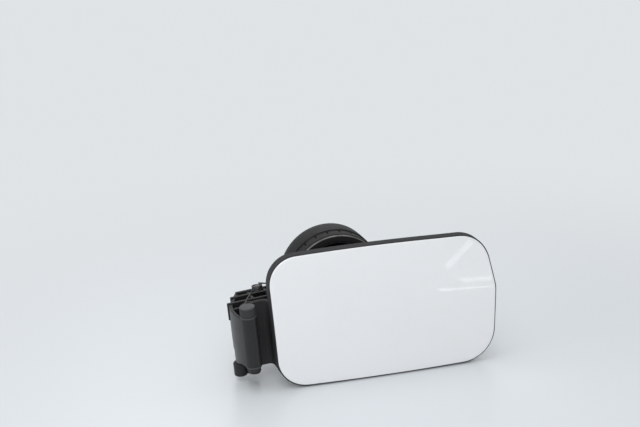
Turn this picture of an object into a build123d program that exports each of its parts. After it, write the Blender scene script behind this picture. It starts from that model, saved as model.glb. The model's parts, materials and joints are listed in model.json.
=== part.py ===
from build123d import *
from math import atan2, cos, degrees, exp, log, radians, sin, sqrt, tan
import os

# A car fuel door: a painted flap on a gooseneck arm, the moulded housing that carries its hinge,
# and the rubber collar round the filler neck.
# Frame: X to the right seen from outside the car, Y into the car, Z up.
# The origin is the centre of the filler bore, on the back face of the housing.
# Sizes are millimetres and degrees.

# Layout of the flap, the hinge and the collar
HOUSING_DEPTH = 69.0        # back face of the housing to the front plane of the flap
FLAP_ACROSS = 34.2          # middle of the flap, to the right of the filler bore
FLAP_BELOW = 19.6           # middle of the flap, below the filler bore
HINGE_LEAN = 5.0            # lean of the hinge axis and of the flap's hinge edge
PIN_OUT = 20.2              # hinge axis, outside the flap's hinge edge
PIN_DEPTH = 10.0            # hinge axis, behind the front plane
PIN_BELOW = 15.0            # middle of the hinge, below the middle of the flap

# Flap outline and its crowned surface
FLAP_LENGTH = 206.5         # hinge edge to nose, at mid height
FLAP_HEIGHT = 122.3         # between the crowns of the lower and upper edges
TOP_BOW = 3.0
BOTTOM_BOW = 1.2
NOSE_HEIGHT = 9.2           # nose of the free edge, above mid height
NOSE_RAKE = 13.0            # the free edge leans back above the nose
TAIL_RAKE = 0.6             # and a little below it
TOP_HINGE_CORNER = 24.0
TOP_FREE_CORNER = 31.0
BOTTOM_FREE_CORNER = 29.0
BOTTOM_HINGE_CORNER = 28.0
NOSE_RADIUS = 20.0
CROWN_TALL = 2.2            # how far the upper and lower edges fall back
CROWN_LONG = 1.8            # how far the end edges fall back
CREASE_START = 69.6         # where the crease dies out, back from the nose
CREASE_DROP = 5.0           # the crease falls by this much towards the nose
FACET_HEIGHT = 53.0         # height of the leaning facet at the nose
FACET_LEAN = 5.0
CREASE_SOFTNESS = 2.4
FADE_SOFTNESS = 8.0
SHEET_COLUMNS = 40          # points that the crowned face is drawn through
SHEET_ROWS = 28
SHEET_FIT = 0.02

# Flap skin and inner frame
SKIN_WALL = 2.0
BOND_GAP = 0.1              # skin to frame, behind the skin
SKIN_CLEAR = 0.2            # skin to frame, round the skin's edge
FRAME_LIP = 0.9             # the frame's lip lies this far behind the skin's face
FRAME_PROUD = 1.0           # the frame stands out round the skin
FRAME_FLOOR = 2.2
FRAME_RIM = 9.5             # depth of the flap at its edge
RIM_WALL = 2.4
RIB_WALL = 1.8
RIB_RISE = 3.4
RIB_PITCH = 27.0
STAKE_RADIUS = 2.0
STAKE_HEAD = 3.4
STAKE_RISE = 1.6
STAKE_CLEAR = 0.2
STAKE_IN = 48.0             # stakes, in from the ends of the flap
STAKE_DOWN = 12.0           # and in from its upper and lower edges

# Arm
THROAT_NEAR = 7.8           # the throat takes the edge of the car's skin as the flap opens
THROAT_FAR = 21.5
THROAT_DEPTH = 18.0
ARM_WALL = 4.5
ARM_NEAR = 3.4              # the arm's heel reaches this far past the pin
HEEL_RADIUS = 10.0
THROAT_RADIUS = 4.5
FOOT_DEPTH = 13.0           # seat of the foot, behind the front plane
FOOT_WALL = 3.5
FOOT_LENGTH = 40.0
FOOT_HEIGHT = 46.0
FOOT_MARGIN = 7.5           # screws, in from the foot's edges
PAD_MARGIN = 2.0
GUSSET_RUN = 18.0
GUSSET_RISE = 12.0
GUSSET_WALL = 2.6
GUSSET_PITCH = 16.0
WEB_LOW = 33.0              # foot of the web, below the middle of the hinge
DECK_WALL = 3.6
DECK_FIN = 2.2

# Pin, ears, barrel and bushes
PIN_RADIUS = 2.5
PIN_HEAD_RADIUS = 6.8
PIN_HEAD_HEIGHT = 1.6
PIN_TAIL = 2.0
CAP_RADIUS = 5.0
CAP_WALL = 0.6
EAR_RADIUS = 6.9
UPPER_EAR = 7.2
LOWER_EAR_RADIUS = 5.4
LOWER_EAR = 3.0
BARREL_RADIUS = 7.0
BARREL_LENGTH = 45.5
BARREL_CLEAR = 0.7          # arm to barrel
BUSH_WALL = 1.5
BUSH_LENGTH = 10.0
BUSH_FLANGE = 1.0
AXIAL_PLAY = 0.15
PIN_CLEAR = 0.3             # pin to barrel, between the bushes
RUNNING_CLEAR = 0.05
SEAT_CLEAR = 0.02

# Housing
WALL = 3.0
BULGE_RADIUS = 70.0         # the side wall bulges out
BULGE_TURN = 17.0           # and leaves the barrel at this angle
WALL_LOW = 32.0             # its lower edge falls to this at the back
WALL_BACK = 35.0            # it bends inwards this far behind the pin
WALL_TAIL = 4.6             # and ends this far to the right of the pin
BLOCK_GAP = 3.0             # arm to block
BLOCK_END = 46.0            # right end of the block, from the pin
BLOCK_LOW = 20.0            # foot of the block, below the middle of the hinge
BLOCK_RISE = 1.0            # the block's ribs stand above the barrel
BLOCK_RIB = 2.8
BLOCK_DECK = 8.0            # floor of the open cells
LONG_RIBS = 2
CROSS_RIBS = 2
LOBE_RADIUS = 6.0           # two lobes make the housing's foot
LOBE_ACROSS = (-5.5, 5.7)
LOBE_BACK = 29.6
LOBE_LOW = 42.5             # foot of the lobes, below the middle of the hinge
LOBE_HEIGHT = 12.5
LOBE_NECK = 3.0
BACK_PLATE = 3.0
BRIDGE_END = 66.0           # the back plate reaches the ring seat
BRIDGE_RISE = 16.0
SEAT_RING_DEPTH = 5.0
SEAT_RING_WALL = 2.4
LUG_SPACING = 80.0
LUG_ACROSS = 12.0           # middle of the two lugs, to the right of the bore
LUG_BELOW = 46.0
LUG_RADIUS = 9.0
LUG_DEPTH = 8.0
SLEEVE_BORE = 3.3
SLEEVE_WALL = 1.3

# Filler collar
BORE_RADIUS = 34.5
FLANGE_RADIUS = 44.0
FLANGE_WIDTH = 14.0
FLANGE_ROUND = 0.8
BAND_RADIUS = 43.0
BAND_WIDTH = 10.6
NOTCH_RADIUS = 41.6         # floor of a notch in the band
NOTCH_WIDTH = 1.6
NOTCH_LENGTH = 5.6
NOTCH_COUNT = 24
LIP_RADIUS = 42.4
LIP_WIDTH = 2.2
SEAL_RADIUS = 26.0          # tip of the sealing lip in the bore
SEAL_BACK = 7.0             # root of the sealing lip, in front of the back face
SEAL_REACH = 11.0
SEAL_WALL = 1.8
NECK_RADIUS = 37.4
TAIL_LIP_RADIUS = 40.6
LIP_ROUND = 0.7
COLLAR_CLEAR = 0.2
FLANGE_CLEAR = 0.6          # block to the collar's flange

# Spring
WIRE_RADIUS = 0.7
COIL_RADIUS = 4.2
COIL_PITCH = 1.7
COIL_TURNS = 2
COIL_ACROSS = 20.5          # coil, from the pin
COIL_BACK = 40.0
ARM_PEG_ACROSS = 4.6        # peg on the arm, from the pin
ARM_PEG_BACK = 15.0
HOUSING_PEG_ACROSS = 40.6   # peg on the housing, from the pin
PEG_RADIUS = 1.7
PEG_BOSS = 4.0
PEG_CLEAR = 0.15
LOOP_SWEEP = 230.0
LEG_LIFT = 1.0              # lower leg, above the arm's deck

# Striker, buffers and screws
STRIKER_IN = 31.25          # in from the nose
STRIKER_BELOW = 6.0
STRIKER_DEPTH = 11.0        # seat, behind the front plane
STRIKER_BASE = 2.6
STRIKER_LENGTH = 40.0
STRIKER_HEIGHT = 16.0
STRIKER_CORNER = 4.0
LOOP_WIDTH = 8.0
STRIKER_RISE = 17.0
STRIKER_BAR = 4.0
STRIKER_GAP = 11.0
BUFFER_IN = 37.25           # in from the nose
BUFFER_DOWN = 22.15         # and in from the upper and lower edges
BUFFER_DEPTH = 12.0
BUFFER_RADIUS = 6.0
BUFFER_TIP = 4.4
BUFFER_RISE = 8.0
BUFFER_STEM = 2.4
BUFFER_STEM_LENGTH = 4.0
SCREW_RADIUS = 2.0
SCREW_HEAD = 4.0
SCREW_HEAD_HEIGHT = 2.6
SCREW_BITE = 4.6            # length of the screw in its pad
SCREW_CLEAR = 0.3
DRIVE_RADIUS = 1.5
DRIVE_SLOT = 0.75
DRIVE_DEPTH = 1.4
PAD_ROOM = 5.0              # a pad's edge, outside its screw

# Sizes worked out from those above
half_length = FLAP_LENGTH / 2
half_height = FLAP_HEIGHT / 2
top_line = half_height - TOP_BOW
bottom_line = -half_height + BOTTOM_BOW
lean_slope = tan(radians(HINGE_LEAN))
flap_origin = Vector(FLAP_ACROSS, -HOUSING_DEPTH, -FLAP_BELOW)
pin_across = -half_length + lean_slope * PIN_BELOW - PIN_OUT
hinge_origin = flap_origin + Vector(pin_across, PIN_DEPTH, -PIN_BELOW)
hinge_plane = Plane(
    origin=hinge_origin,
    x_dir=(cos(radians(HINGE_LEAN)), 0, sin(radians(HINGE_LEAN))),
    z_dir=(-sin(radians(HINGE_LEAN)), 0, cos(radians(HINGE_LEAN))),
)
hinge = hinge_plane.location
barrel_end = BARREL_LENGTH / 2
ear_start = barrel_end + BUSH_FLANGE + AXIAL_PLAY
deck_top = ear_start + DECK_WALL
ear_top = ear_start + UPPER_EAR
ear_bottom = -ear_start - LOWER_EAR
foot_seat = FOOT_DEPTH - PIN_DEPTH
foot_back = foot_seat + FOOT_WALL
foot_end = THROAT_FAR + ARM_WALL + FOOT_LENGTH
arm_back = THROAT_DEPTH + ARM_WALL
block_front = arm_back + BLOCK_GAP
block_top = barrel_end + BLOCK_RISE
housing_back = HOUSING_DEPTH - PIN_DEPTH
bush_radius = PIN_RADIUS + RUNNING_CLEAR + BUSH_WALL
sleeve_radius = SLEEVE_BORE + SLEEVE_WALL
floor_back = SKIN_WALL + BOND_GAP + FRAME_FLOOR
rib_back = floor_back + RIB_RISE
coil_start = deck_top + LEG_LIFT + WIRE_RADIUS
loop_radius = PEG_RADIUS + PEG_CLEAR + WIRE_RADIUS
housing_peg_back = block_front + PEG_RADIUS
peg_top = coil_start + (COIL_TURNS + 1) * COIL_PITCH + WIRE_RADIUS
barrel_room = BARREL_RADIUS + BARREL_CLEAR
wall_middle = WALL / 2 - BARREL_RADIUS
bulge_middle = Vector(cos(radians(BULGE_TURN)), sin(radians(BULGE_TURN))) * (BULGE_RADIUS - BARREL_RADIUS)
striker_across = half_length - STRIKER_IN
buffer_across = half_length - BUFFER_IN
buffer_up = half_height - BUFFER_DOWN
past_flap = HOUSING_DEPTH / 2       # deeper than the flap
past_all = 4 * HOUSING_DEPTH        # longer than anything that is cut


# Helpers
def box(x0, x1, y0, y1, z0, z1):
    """A box between two corners."""
    return Pos((x0 + x1) / 2, (y0 + y1) / 2, (z0 + z1) / 2) * Box(x1 - x0, y1 - y0, z1 - z0)


def rod(radius, x, y, z0, z1):
    """A round rod along Z."""
    return Pos(x, y, (z0 + z1) / 2) * Cylinder(radius, z1 - z0)


def spindle(radius, x, z, y0, y1):
    """A round rod along Y."""
    return Pos(x, (y0 + y1) / 2, z) * Rot(X=90) * Cylinder(radius, y1 - y0)


def slab(points, z0, z1):
    """A polygon in plan, raised from z0 to z1."""
    return Pos(0, 0, z0) * extrude(make_face(Polyline(*points, close=True)), z1 - z0)


def rounded(face, corners):
    """The face with each named corner rounded."""
    for corner, radius in corners:
        nearest = face.vertices().sort_by_distance(corner)[0]
        face = face.fillet_2d(radius, [nearest])
    return face


def soft_ramp(t, softness):
    """Zero below nought and t above it, with a soft bend between."""
    return max(t, 0) + softness * log(1 + exp(-abs(t) / softness))


# Flap
def flap_outline():
    """The outline of the painted skin, in the flap's own plane."""
    top_hinge = (-half_length - lean_slope * top_line, top_line)
    bottom_hinge = (-half_length - lean_slope * bottom_line, bottom_line)
    nose = (half_length, NOSE_HEIGHT)
    top_free = (half_length - tan(radians(NOSE_RAKE)) * (top_line - NOSE_HEIGHT), top_line)
    bottom_free = (half_length - tan(radians(TAIL_RAKE)) * (NOSE_HEIGHT - bottom_line), bottom_line)
    edges = [
        SagittaArc(top_hinge, top_free, TOP_BOW),
        Line(top_free, nose),
        Line(nose, bottom_free),
        SagittaArc(bottom_free, bottom_hinge, BOTTOM_BOW),
        Line(bottom_hinge, top_hinge),
    ]
    corners = [
        (top_hinge, TOP_HINGE_CORNER),
        (top_free, TOP_FREE_CORNER),
        (nose, NOSE_RADIUS),
        (bottom_free, BOTTOM_FREE_CORNER),
        (bottom_hinge, BOTTOM_HINGE_CORNER),
    ]
    return rounded(make_face(edges).face(), corners)


def flap_depth(u, w):
    """How far the flap's face lies behind its front plane at u across and w up."""
    crown = CROWN_TALL * (w / half_height) ** 2 + CROWN_LONG * (u / half_length) ** 2
    run = soft_ramp(u - half_length + CREASE_START, FADE_SOFTNESS) / CREASE_START
    crease = NOSE_HEIGHT + CREASE_DROP * (1 - run)
    facet_top = crease + FACET_HEIGHT * run
    climb = soft_ramp(w - crease, CREASE_SOFTNESS) - soft_ramp(w - facet_top, CREASE_SOFTNESS)
    return crown + tan(radians(FACET_LEAN)) * run * climb


def flap_sheet():
    """The crowned face as one smooth sheet, larger than the flap."""
    margin = 2 * (FRAME_PROUD + FRAME_RIM)
    reach_across = half_length + margin
    reach_up = half_height + margin
    grid = []
    for i in range(SHEET_COLUMNS + 1):
        u = reach_across * (2 * i / SHEET_COLUMNS - 1)
        column = []
        for j in range(SHEET_ROWS + 1):
            w = reach_up * (2 * j / SHEET_ROWS - 1)
            column.append(flap_origin + Vector(u, flap_depth(u, w), w))
        grid.append(column)
    return Face.make_surface_from_array_of_points(grid, tol=SHEET_FIT)


sheet = flap_sheet()
outline = flap_outline()
flap_plane = Plane(origin=flap_origin, x_dir=(1, 0, 0), z_dir=(0, -1, 0))


def behind(depth):
    """All space behind the crowned face, moved back by depth."""
    return extrude(Pos(0, depth, 0) * sheet, past_flap, dir=(0, 1, 0))


def prism(grow):
    """The flap's outline, grown or shrunk, as a straight block through the flap."""
    face = offset(outline, grow, kind=Kind.ARC) if grow else outline
    placed = flap_plane * Pos(0, 0, past_flap) * face
    return extrude(placed, 2 * past_flap, dir=(0, 1, 0))


def on_flap(u, w, depth):
    """A point at u across and w up the flap, at a depth behind its front plane."""
    return flap_origin + Vector(u, depth, w)


def flap_rod(radius, u, w, depth0, depth1):
    """A round rod through the flap, square to its front plane."""
    p = on_flap(u, w, 0)
    return spindle(radius, p.X, p.Z, p.Y + depth0, p.Y + depth1)


stake_places = [
    (u, w)
    for u in (-half_length + STAKE_IN, 0, half_length - STAKE_IN)
    for w in (-half_height + STAKE_DOWN, half_height - STAKE_DOWN)
]


def flap_skin():
    """The painted skin, with the pegs that are staked behind the frame."""
    skin = (prism(0) & behind(0)) - behind(SKIN_WALL)
    for u, w in stake_places:
        face = flap_depth(u, w)
        seat = face + floor_back
        skin += flap_rod(STAKE_RADIUS, u, w, face + SKIN_WALL / 2, seat + STAKE_RISE)
        skin += flap_rod(STAKE_HEAD, u, w, seat + STAKE_CLEAR, seat + STAKE_RISE)
    return skin


arm_screw_places = [
    (x, z)
    for x in (THROAT_FAR + ARM_WALL + FOOT_MARGIN + GUSSET_WALL, foot_end - FOOT_MARGIN)
    for z in (-FOOT_HEIGHT / 2 + FOOT_MARGIN, FOOT_HEIGHT / 2 - FOOT_MARGIN)
]
striker_screw_places = [
    (striker_across + side * (STRIKER_LENGTH / 2 - PAD_ROOM), -STRIKER_BELOW) for side in (-1, 1)
]
buffer_places = {"buffer_upper": buffer_up, "buffer_lower": -buffer_up}


def frame_ribs():
    """The grid of low ribs on the back of the frame."""
    y0 = flap_origin.Y
    ribs = []
    across = int(half_length / RIB_PITCH)
    upward = int(half_height / RIB_PITCH)
    for i in range(-across, across + 1):
        x = flap_origin.X + i * RIB_PITCH
        z = flap_origin.Z
        ribs.append(box(x - RIB_WALL / 2, x + RIB_WALL / 2, y0, y0 + past_flap,
                        z - half_height, z + half_height))
    for j in range(-upward, upward + 1):
        z = flap_origin.Z + j * RIB_PITCH
        x = flap_origin.X
        ribs.append(box(x - half_length, x + half_length, y0, y0 + past_flap,
                        z - RIB_WALL / 2, z + RIB_WALL / 2))
    grid = Part() + ribs
    kept = grid & prism(FRAME_PROUD - RIM_WALL / 2)
    return (kept & behind(floor_back - FRAME_FLOOR / 2)) - behind(rib_back)


def flap_frame():
    """The moulded frame behind the skin."""
    tray = (prism(FRAME_PROUD) & behind(FRAME_LIP)) - behind(FRAME_RIM)
    tray -= prism(SKIN_CLEAR) - behind(SKIN_WALL + BOND_GAP)
    tray -= prism(FRAME_PROUD - RIM_WALL) & behind(floor_back)
    tray += frame_ribs()
    inner = behind(floor_back - FRAME_FLOOR / 2)
    pad_start = THROAT_FAR + ARM_WALL / 2
    arm_pad = hinge * box(pad_start, foot_end + PAD_MARGIN, -PIN_DEPTH, foot_seat,
                          -FOOT_HEIGHT / 2 - PAD_MARGIN, FOOT_HEIGHT / 2 + PAD_MARGIN)
    tray += arm_pad & inner
    p = on_flap(striker_across, -STRIKER_BELOW, 0)
    reach = STRIKER_LENGTH / 2 + PAD_MARGIN
    rise = STRIKER_HEIGHT / 2 + PAD_MARGIN
    tray += box(p.X - reach, p.X + reach, p.Y, p.Y + STRIKER_DEPTH, p.Z - rise, p.Z + rise) & inner
    for up in buffer_places.values():
        tray += flap_rod(BUFFER_RADIUS, buffer_across, up, 0, BUFFER_DEPTH) & inner
        tray -= flap_rod(BUFFER_STEM + SEAT_CLEAR, buffer_across, up,
                         BUFFER_DEPTH - BUFFER_STEM_LENGTH - SEAT_CLEAR, past_flap)
    for u, w in stake_places:
        face = flap_depth(u, w)
        tray -= flap_rod(STAKE_RADIUS + STAKE_CLEAR, u, w, -past_flap, face + rib_back)
        tray -= flap_rod(STAKE_HEAD + STAKE_CLEAR, u, w, face + floor_back, past_flap)
    for x, z in arm_screw_places:
        hole = spindle(SCREW_RADIUS + SEAT_CLEAR, x, z, foot_seat - SCREW_BITE - SEAT_CLEAR, foot_back)
        tray -= hinge * hole
    for u, w in striker_screw_places:
        tray -= flap_rod(SCREW_RADIUS + SEAT_CLEAR, u, w,
                         STRIKER_DEPTH - SCREW_BITE - SEAT_CLEAR, past_flap)
    return tray


# Hinge arm
def arm_profile():
    """The gooseneck in plan, about the pin."""
    outer = make_face(Polyline(
        (-ARM_NEAR, 0), (-ARM_NEAR, arm_back), (THROAT_FAR + ARM_WALL, arm_back),
        (THROAT_FAR + ARM_WALL, foot_seat), (THROAT_FAR, foot_seat), (THROAT_FAR, 0), close=True)).face()
    outer = rounded(outer, [
        ((-ARM_NEAR, arm_back), HEEL_RADIUS),
        ((THROAT_FAR + ARM_WALL, arm_back), THROAT_RADIUS + ARM_WALL),
    ])
    throat = make_face(Polyline(
        (THROAT_NEAR, -arm_back), (THROAT_NEAR, THROAT_DEPTH),
        (THROAT_FAR, THROAT_DEPTH), (THROAT_FAR, -arm_back), close=True)).face()
    throat = rounded(throat, [
        ((THROAT_NEAR, THROAT_DEPTH), THROAT_RADIUS),
        ((THROAT_FAR, THROAT_DEPTH), THROAT_RADIUS),
    ])
    return Sketch() + outer - throat


def hinge_arm():
    """The gooseneck arm: two ears on the pin, the bent web, and the foot behind the frame."""
    arm = Pos(0, 0, -WEB_LOW) * extrude(arm_profile(), deck_top + WEB_LOW)
    arm -= box(-past_all, THROAT_NEAR, -past_all, barrel_room, -past_all, ear_start)
    arm += rod(EAR_RADIUS, 0, 0, ear_start, ear_top)
    arm += rod(LOWER_EAR_RADIUS, 0, 0, ear_bottom, -ear_start)
    arm += box(-ARM_NEAR, ARM_NEAR, 0, HEEL_RADIUS, ear_bottom, -ear_start)
    low = -FOOT_HEIGHT / 2
    high = FOOT_HEIGHT / 2
    arm += box(THROAT_FAR, foot_end, foot_seat, foot_back, low, high)
    web = THROAT_FAR + ARM_WALL
    inside = web - ARM_WALL / 2
    foot_middle = foot_back - FOOT_WALL / 2
    count = int(FOOT_HEIGHT / GUSSET_PITCH)
    for i in range(count):
        z = (i - (count - 1) / 2) * GUSSET_PITCH
        gusset = [(inside, foot_middle), (web + GUSSET_RUN, foot_middle), (web + GUSSET_RUN, foot_back),
                  (web, foot_back + GUSSET_RISE), (inside, foot_back + GUSSET_RISE)]
        arm += slab(gusset, z - GUSSET_WALL / 2, z + GUSSET_WALL / 2)
    deck_middle = deck_top - DECK_WALL / 2
    for fin in (EAR_RADIUS + DECK_FIN, arm_back - DECK_FIN):
        arm += box(THROAT_FAR + DECK_FIN, web, fin - DECK_FIN, fin, deck_middle, deck_top + DECK_FIN)
    arm += rod(PEG_RADIUS, ARM_PEG_ACROSS, ARM_PEG_BACK, deck_middle, coil_start + 2 * WIRE_RADIUS)
    arm -= rod(PIN_RADIUS + SEAT_CLEAR, 0, 0, -past_all, past_all)
    for x, z in arm_screw_places:
        arm -= spindle(SCREW_RADIUS + SCREW_CLEAR, x, z, -past_all, past_all)
    return hinge * arm


def hinge_pin():
    """The pin, with its flat head on the upper ear."""
    pin = rod(PIN_RADIUS, 0, 0, ear_bottom - PIN_TAIL, ear_top)
    return hinge * (pin + rod(PIN_HEAD_RADIUS, 0, 0, ear_top, ear_top + PIN_HEAD_HEIGHT))


def pin_cap():
    """The cap pushed on the pin's lower end."""
    pin_end = ear_bottom - PIN_TAIL
    cap = rod(CAP_RADIUS, 0, 0, pin_end - CAP_WALL, ear_bottom)
    return hinge * (cap - rod(PIN_RADIUS + SEAT_CLEAR, 0, 0, pin_end - SEAT_CLEAR, ear_bottom))


def bush(side):
    """A flanged bush, pressed into one end of the barrel."""
    part = rod(bush_radius, 0, 0, barrel_end - BUSH_LENGTH, barrel_end)
    part += rod(BARREL_RADIUS, 0, 0, barrel_end, barrel_end + BUSH_FLANGE)
    part -= rod(PIN_RADIUS + RUNNING_CLEAR, 0, 0, 0, past_all)
    turn = Rot(X=180) if side < 0 else Rot(X=0)
    return hinge * (turn * part)


# Screws
def screw(grip):
    """A pan-head screw along Y, its head's seat at the origin and its point towards -Y."""
    length = grip + SCREW_BITE
    part = spindle(SCREW_RADIUS, 0, 0, -length, 0)
    head = spindle(SCREW_HEAD, 0, 0, 0, SCREW_HEAD_HEIGHT)
    head = fillet(head.edges().sort_by(Axis.Y)[-1], SCREW_HEAD_HEIGHT / 2)
    drive_bottom = SCREW_HEAD_HEIGHT - DRIVE_DEPTH
    slot = DRIVE_SLOT / 2
    cross = box(-DRIVE_RADIUS, DRIVE_RADIUS, drive_bottom, SCREW_HEAD_HEIGHT, -slot, slot)
    cross += box(-slot, slot, drive_bottom, SCREW_HEAD_HEIGHT, -DRIVE_RADIUS, DRIVE_RADIUS)
    return part + head - cross


# Striker and buffers
def latch_striker():
    """The loop that the lock grips, on its base plate."""
    p = on_flap(striker_across, -STRIKER_BELOW, STRIKER_DEPTH)
    length = STRIKER_LENGTH / 2
    height = STRIKER_HEIGHT / 2
    base = box(-length, length, 0, STRIKER_BASE, -height, height)
    base = fillet(base.edges().filter_by(Axis.Y), STRIKER_CORNER)
    gap = STRIKER_GAP / 2
    reach = gap + STRIKER_BAR
    top = STRIKER_BASE + STRIKER_RISE
    loop = box(-reach, reach, STRIKER_BASE / 2, top, -LOOP_WIDTH / 2, LOOP_WIDTH / 2)
    loop = fillet(loop.edges().filter_by(Axis.Z).sort_by(Axis.Y)[-2:], STRIKER_BAR)
    window = box(-gap, gap, STRIKER_BASE, top - STRIKER_BAR, -LOOP_WIDTH, LOOP_WIDTH)
    striker = Pos(p) * (base + (loop - window))
    for u, w in striker_screw_places:
        striker -= flap_rod(SCREW_RADIUS + SCREW_CLEAR, u, w, 0, past_flap)
    return striker


def buffer(up):
    """A rubber bump stop, its stem pushed into a boss on the frame."""
    p = on_flap(buffer_across, up, BUFFER_DEPTH)
    stem = spindle(BUFFER_STEM, 0, 0, -BUFFER_STEM_LENGTH, BUFFER_RISE / 2)
    dome = Pos(0, BUFFER_RISE / 2, 0) * Rot(X=90) * Cone(BUFFER_TIP, BUFFER_RADIUS, BUFFER_RISE)
    dome = fillet(dome.edges().sort_by(Axis.Y)[-1], BUFFER_TIP / 2)
    return Pos(p) * (stem + dome)


# Spring
def tangent_points(centre, radius, other, other_radius, side):
    """Where a straight leg touches a coil and a loop, both on the same side of it."""
    gap = Vector(*other) - Vector(*centre)
    along = gap.normalized()
    across = Vector(-along.Y, along.X) * side
    share = (radius - other_radius) / gap.length
    touch = along * share + across * sqrt(1 - share ** 2)
    return Vector(*centre) + touch * radius, Vector(*other) + touch * other_radius


def spring_leg(peg, side, z):
    """A straight leg and the open loop round its peg, with the point where it leaves the coil."""
    start, end = tangent_points((COIL_ACROSS, COIL_BACK), COIL_RADIUS, peg, loop_radius, side)
    spoke = end - Vector(*peg)
    turn = radians(-side * LOOP_SWEEP)

    def round_peg(angle):
        return Vector(*peg) + Vector(spoke.X * cos(angle) - spoke.Y * sin(angle),
                                     spoke.X * sin(angle) + spoke.Y * cos(angle))

    loop = ThreePointArc(end, round_peg(turn / 2), round_peg(turn))
    path = Wire([Line(start, end).edge(), loop.edge()])
    section = Plane(origin=start, z_dir=end - start) * Circle(WIRE_RADIUS)
    return Pos(0, 0, z) * sweep(section, path), start


def over_centre_spring():
    """The wire spring: a coil with one leg to the arm and one to the housing."""
    arm_leg, arm_start = spring_leg((ARM_PEG_ACROSS, ARM_PEG_BACK), -1, coil_start)
    angle = degrees(atan2(arm_start.Y - COIL_BACK, arm_start.X - COIL_ACROSS))
    housing_peg = (HOUSING_PEG_ACROSS, housing_peg_back)
    start, end = tangent_points((COIL_ACROSS, COIL_BACK), COIL_RADIUS, housing_peg, loop_radius, 1)
    far = degrees(atan2(start.Y - COIL_BACK, start.X - COIL_ACROSS))
    turns = COIL_TURNS + ((far - angle) % 360) / 360
    rise = turns * COIL_PITCH
    housing_leg = spring_leg(housing_peg, 1, coil_start + rise)[0]
    helix = Helix(COIL_PITCH, rise, COIL_RADIUS)
    section = Plane(origin=helix @ 0, z_dir=helix % 0) * Circle(WIRE_RADIUS)
    coil = sweep(section, helix.edge(), is_frenet=True)
    coil = Pos(COIL_ACROSS, COIL_BACK, coil_start) * Rot(Z=angle) * coil
    knuckles = [Pos(arm_start.X, arm_start.Y, coil_start) * Sphere(WIRE_RADIUS),
                Pos(start.X, start.Y, coil_start + rise) * Sphere(WIRE_RADIUS)]
    return hinge * (Part() + [coil, arm_leg, housing_leg] + knuckles)


# Housing
def bulge(y, inset):
    """The side wall's face in plan at y, or a line that lies inset behind it."""
    return bulge_middle.X - sqrt((BULGE_RADIUS - inset) ** 2 - (y - bulge_middle.Y) ** 2)


def side_wall():
    """The bulged wall beside the barrel, its lower edge falling to the back, and its bent tail."""
    ring = rod(BULGE_RADIUS, bulge_middle.X, bulge_middle.Y, -WALL_LOW, barrel_end)
    ring -= rod(BULGE_RADIUS - WALL, bulge_middle.X, bulge_middle.Y, -WALL_LOW, barrel_end)
    start = -BARREL_RADIUS * sin(radians(BULGE_TURN))
    wall = ring & box(-BULGE_RADIUS, 0, start, WALL_BACK, -WALL_LOW, barrel_end)
    under = Polyline((start, -WALL_LOW), (start, -barrel_end), (barrel_room, -barrel_end),
                     (WALL_BACK, -WALL_LOW), close=True)
    wall -= extrude(Plane.YZ * make_face(under), BULGE_RADIUS, both=True)
    tail = [(bulge(WALL_BACK, 0), WALL_BACK), (WALL_TAIL, housing_back), (WALL_TAIL + WALL, housing_back),
            (bulge(WALL_BACK, WALL), WALL_BACK - WALL / 2), (bulge(WALL_BACK, WALL / 2), WALL_BACK - WALL)]
    return wall + slab(tail, -BLOCK_LOW, barrel_end)


def foot():
    """The two-lobed foot, on necks under the block."""
    lobes = []
    for x in LOBE_ACROSS:
        lobe = rod(LOBE_RADIUS, x, LOBE_BACK, -LOBE_LOW, LOBE_HEIGHT - LOBE_LOW)
        lobes.append(fillet(lobe.edges(), LOBE_RADIUS / 4))
        lobes.append(rod(LOBE_NECK, x, LOBE_BACK, LOBE_HEIGHT / 2 - LOBE_LOW, WALL / 2 - BLOCK_LOW))
    return Part() + lobes


def ribbed_block():
    """The block behind the arm: front wall, two decks, end wall and the ribs of its open cells."""
    block = box(wall_middle, BLOCK_END, block_front, block_front + WALL, -BLOCK_LOW, barrel_end - BLOCK_RISE)
    wedge = [(wall_middle, block_front), (wall_middle, WALL_BACK), (WALL_TAIL + WALL / 2, housing_back),
             (BLOCK_END, housing_back), (BLOCK_END, block_front)]
    for deck in (WALL - BLOCK_LOW, BLOCK_DECK):
        block += slab(wedge, deck - WALL, deck)
    block += box(BLOCK_END - WALL, BLOCK_END, block_front, housing_back, -BLOCK_LOW, barrel_end)
    for i in range(LONG_RIBS):
        share = i / LONG_RIBS
        y = WALL_BACK + share * (housing_back - WALL_BACK)
        tip = bulge(WALL_BACK, 0) + share * (WALL_TAIL - bulge(WALL_BACK, 0))
        block += box(tip, BLOCK_END, y, y + BLOCK_RIB, -BLOCK_LOW, block_top)
        block += rod(BLOCK_RIB / 2, tip, y + BLOCK_RIB / 2, BLOCK_DECK, block_top)
    for i in range(CROSS_RIBS):
        x = (i + 1) * BLOCK_END / (CROSS_RIBS + 1)
        block += box(x - BLOCK_RIB / 2, x + BLOCK_RIB / 2, block_front, housing_back, -BLOCK_LOW, barrel_end)
    return block


def bridge():
    """The back plate and its two gussets, from the block to the ring seat."""
    plate = box(WALL_TAIL, BRIDGE_END, housing_back - BACK_PLATE, housing_back, -BLOCK_LOW, block_top)
    start = BLOCK_END - WALL
    gusset = [(start, housing_back - BRIDGE_RISE), (start, housing_back),
              (BRIDGE_END, housing_back), (BRIDGE_END, housing_back - BACK_PLATE)]
    for z in (-BLOCK_LOW, BLOCK_DECK - WALL):
        plate += slab(gusset, z, z + WALL)
    return plate


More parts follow.
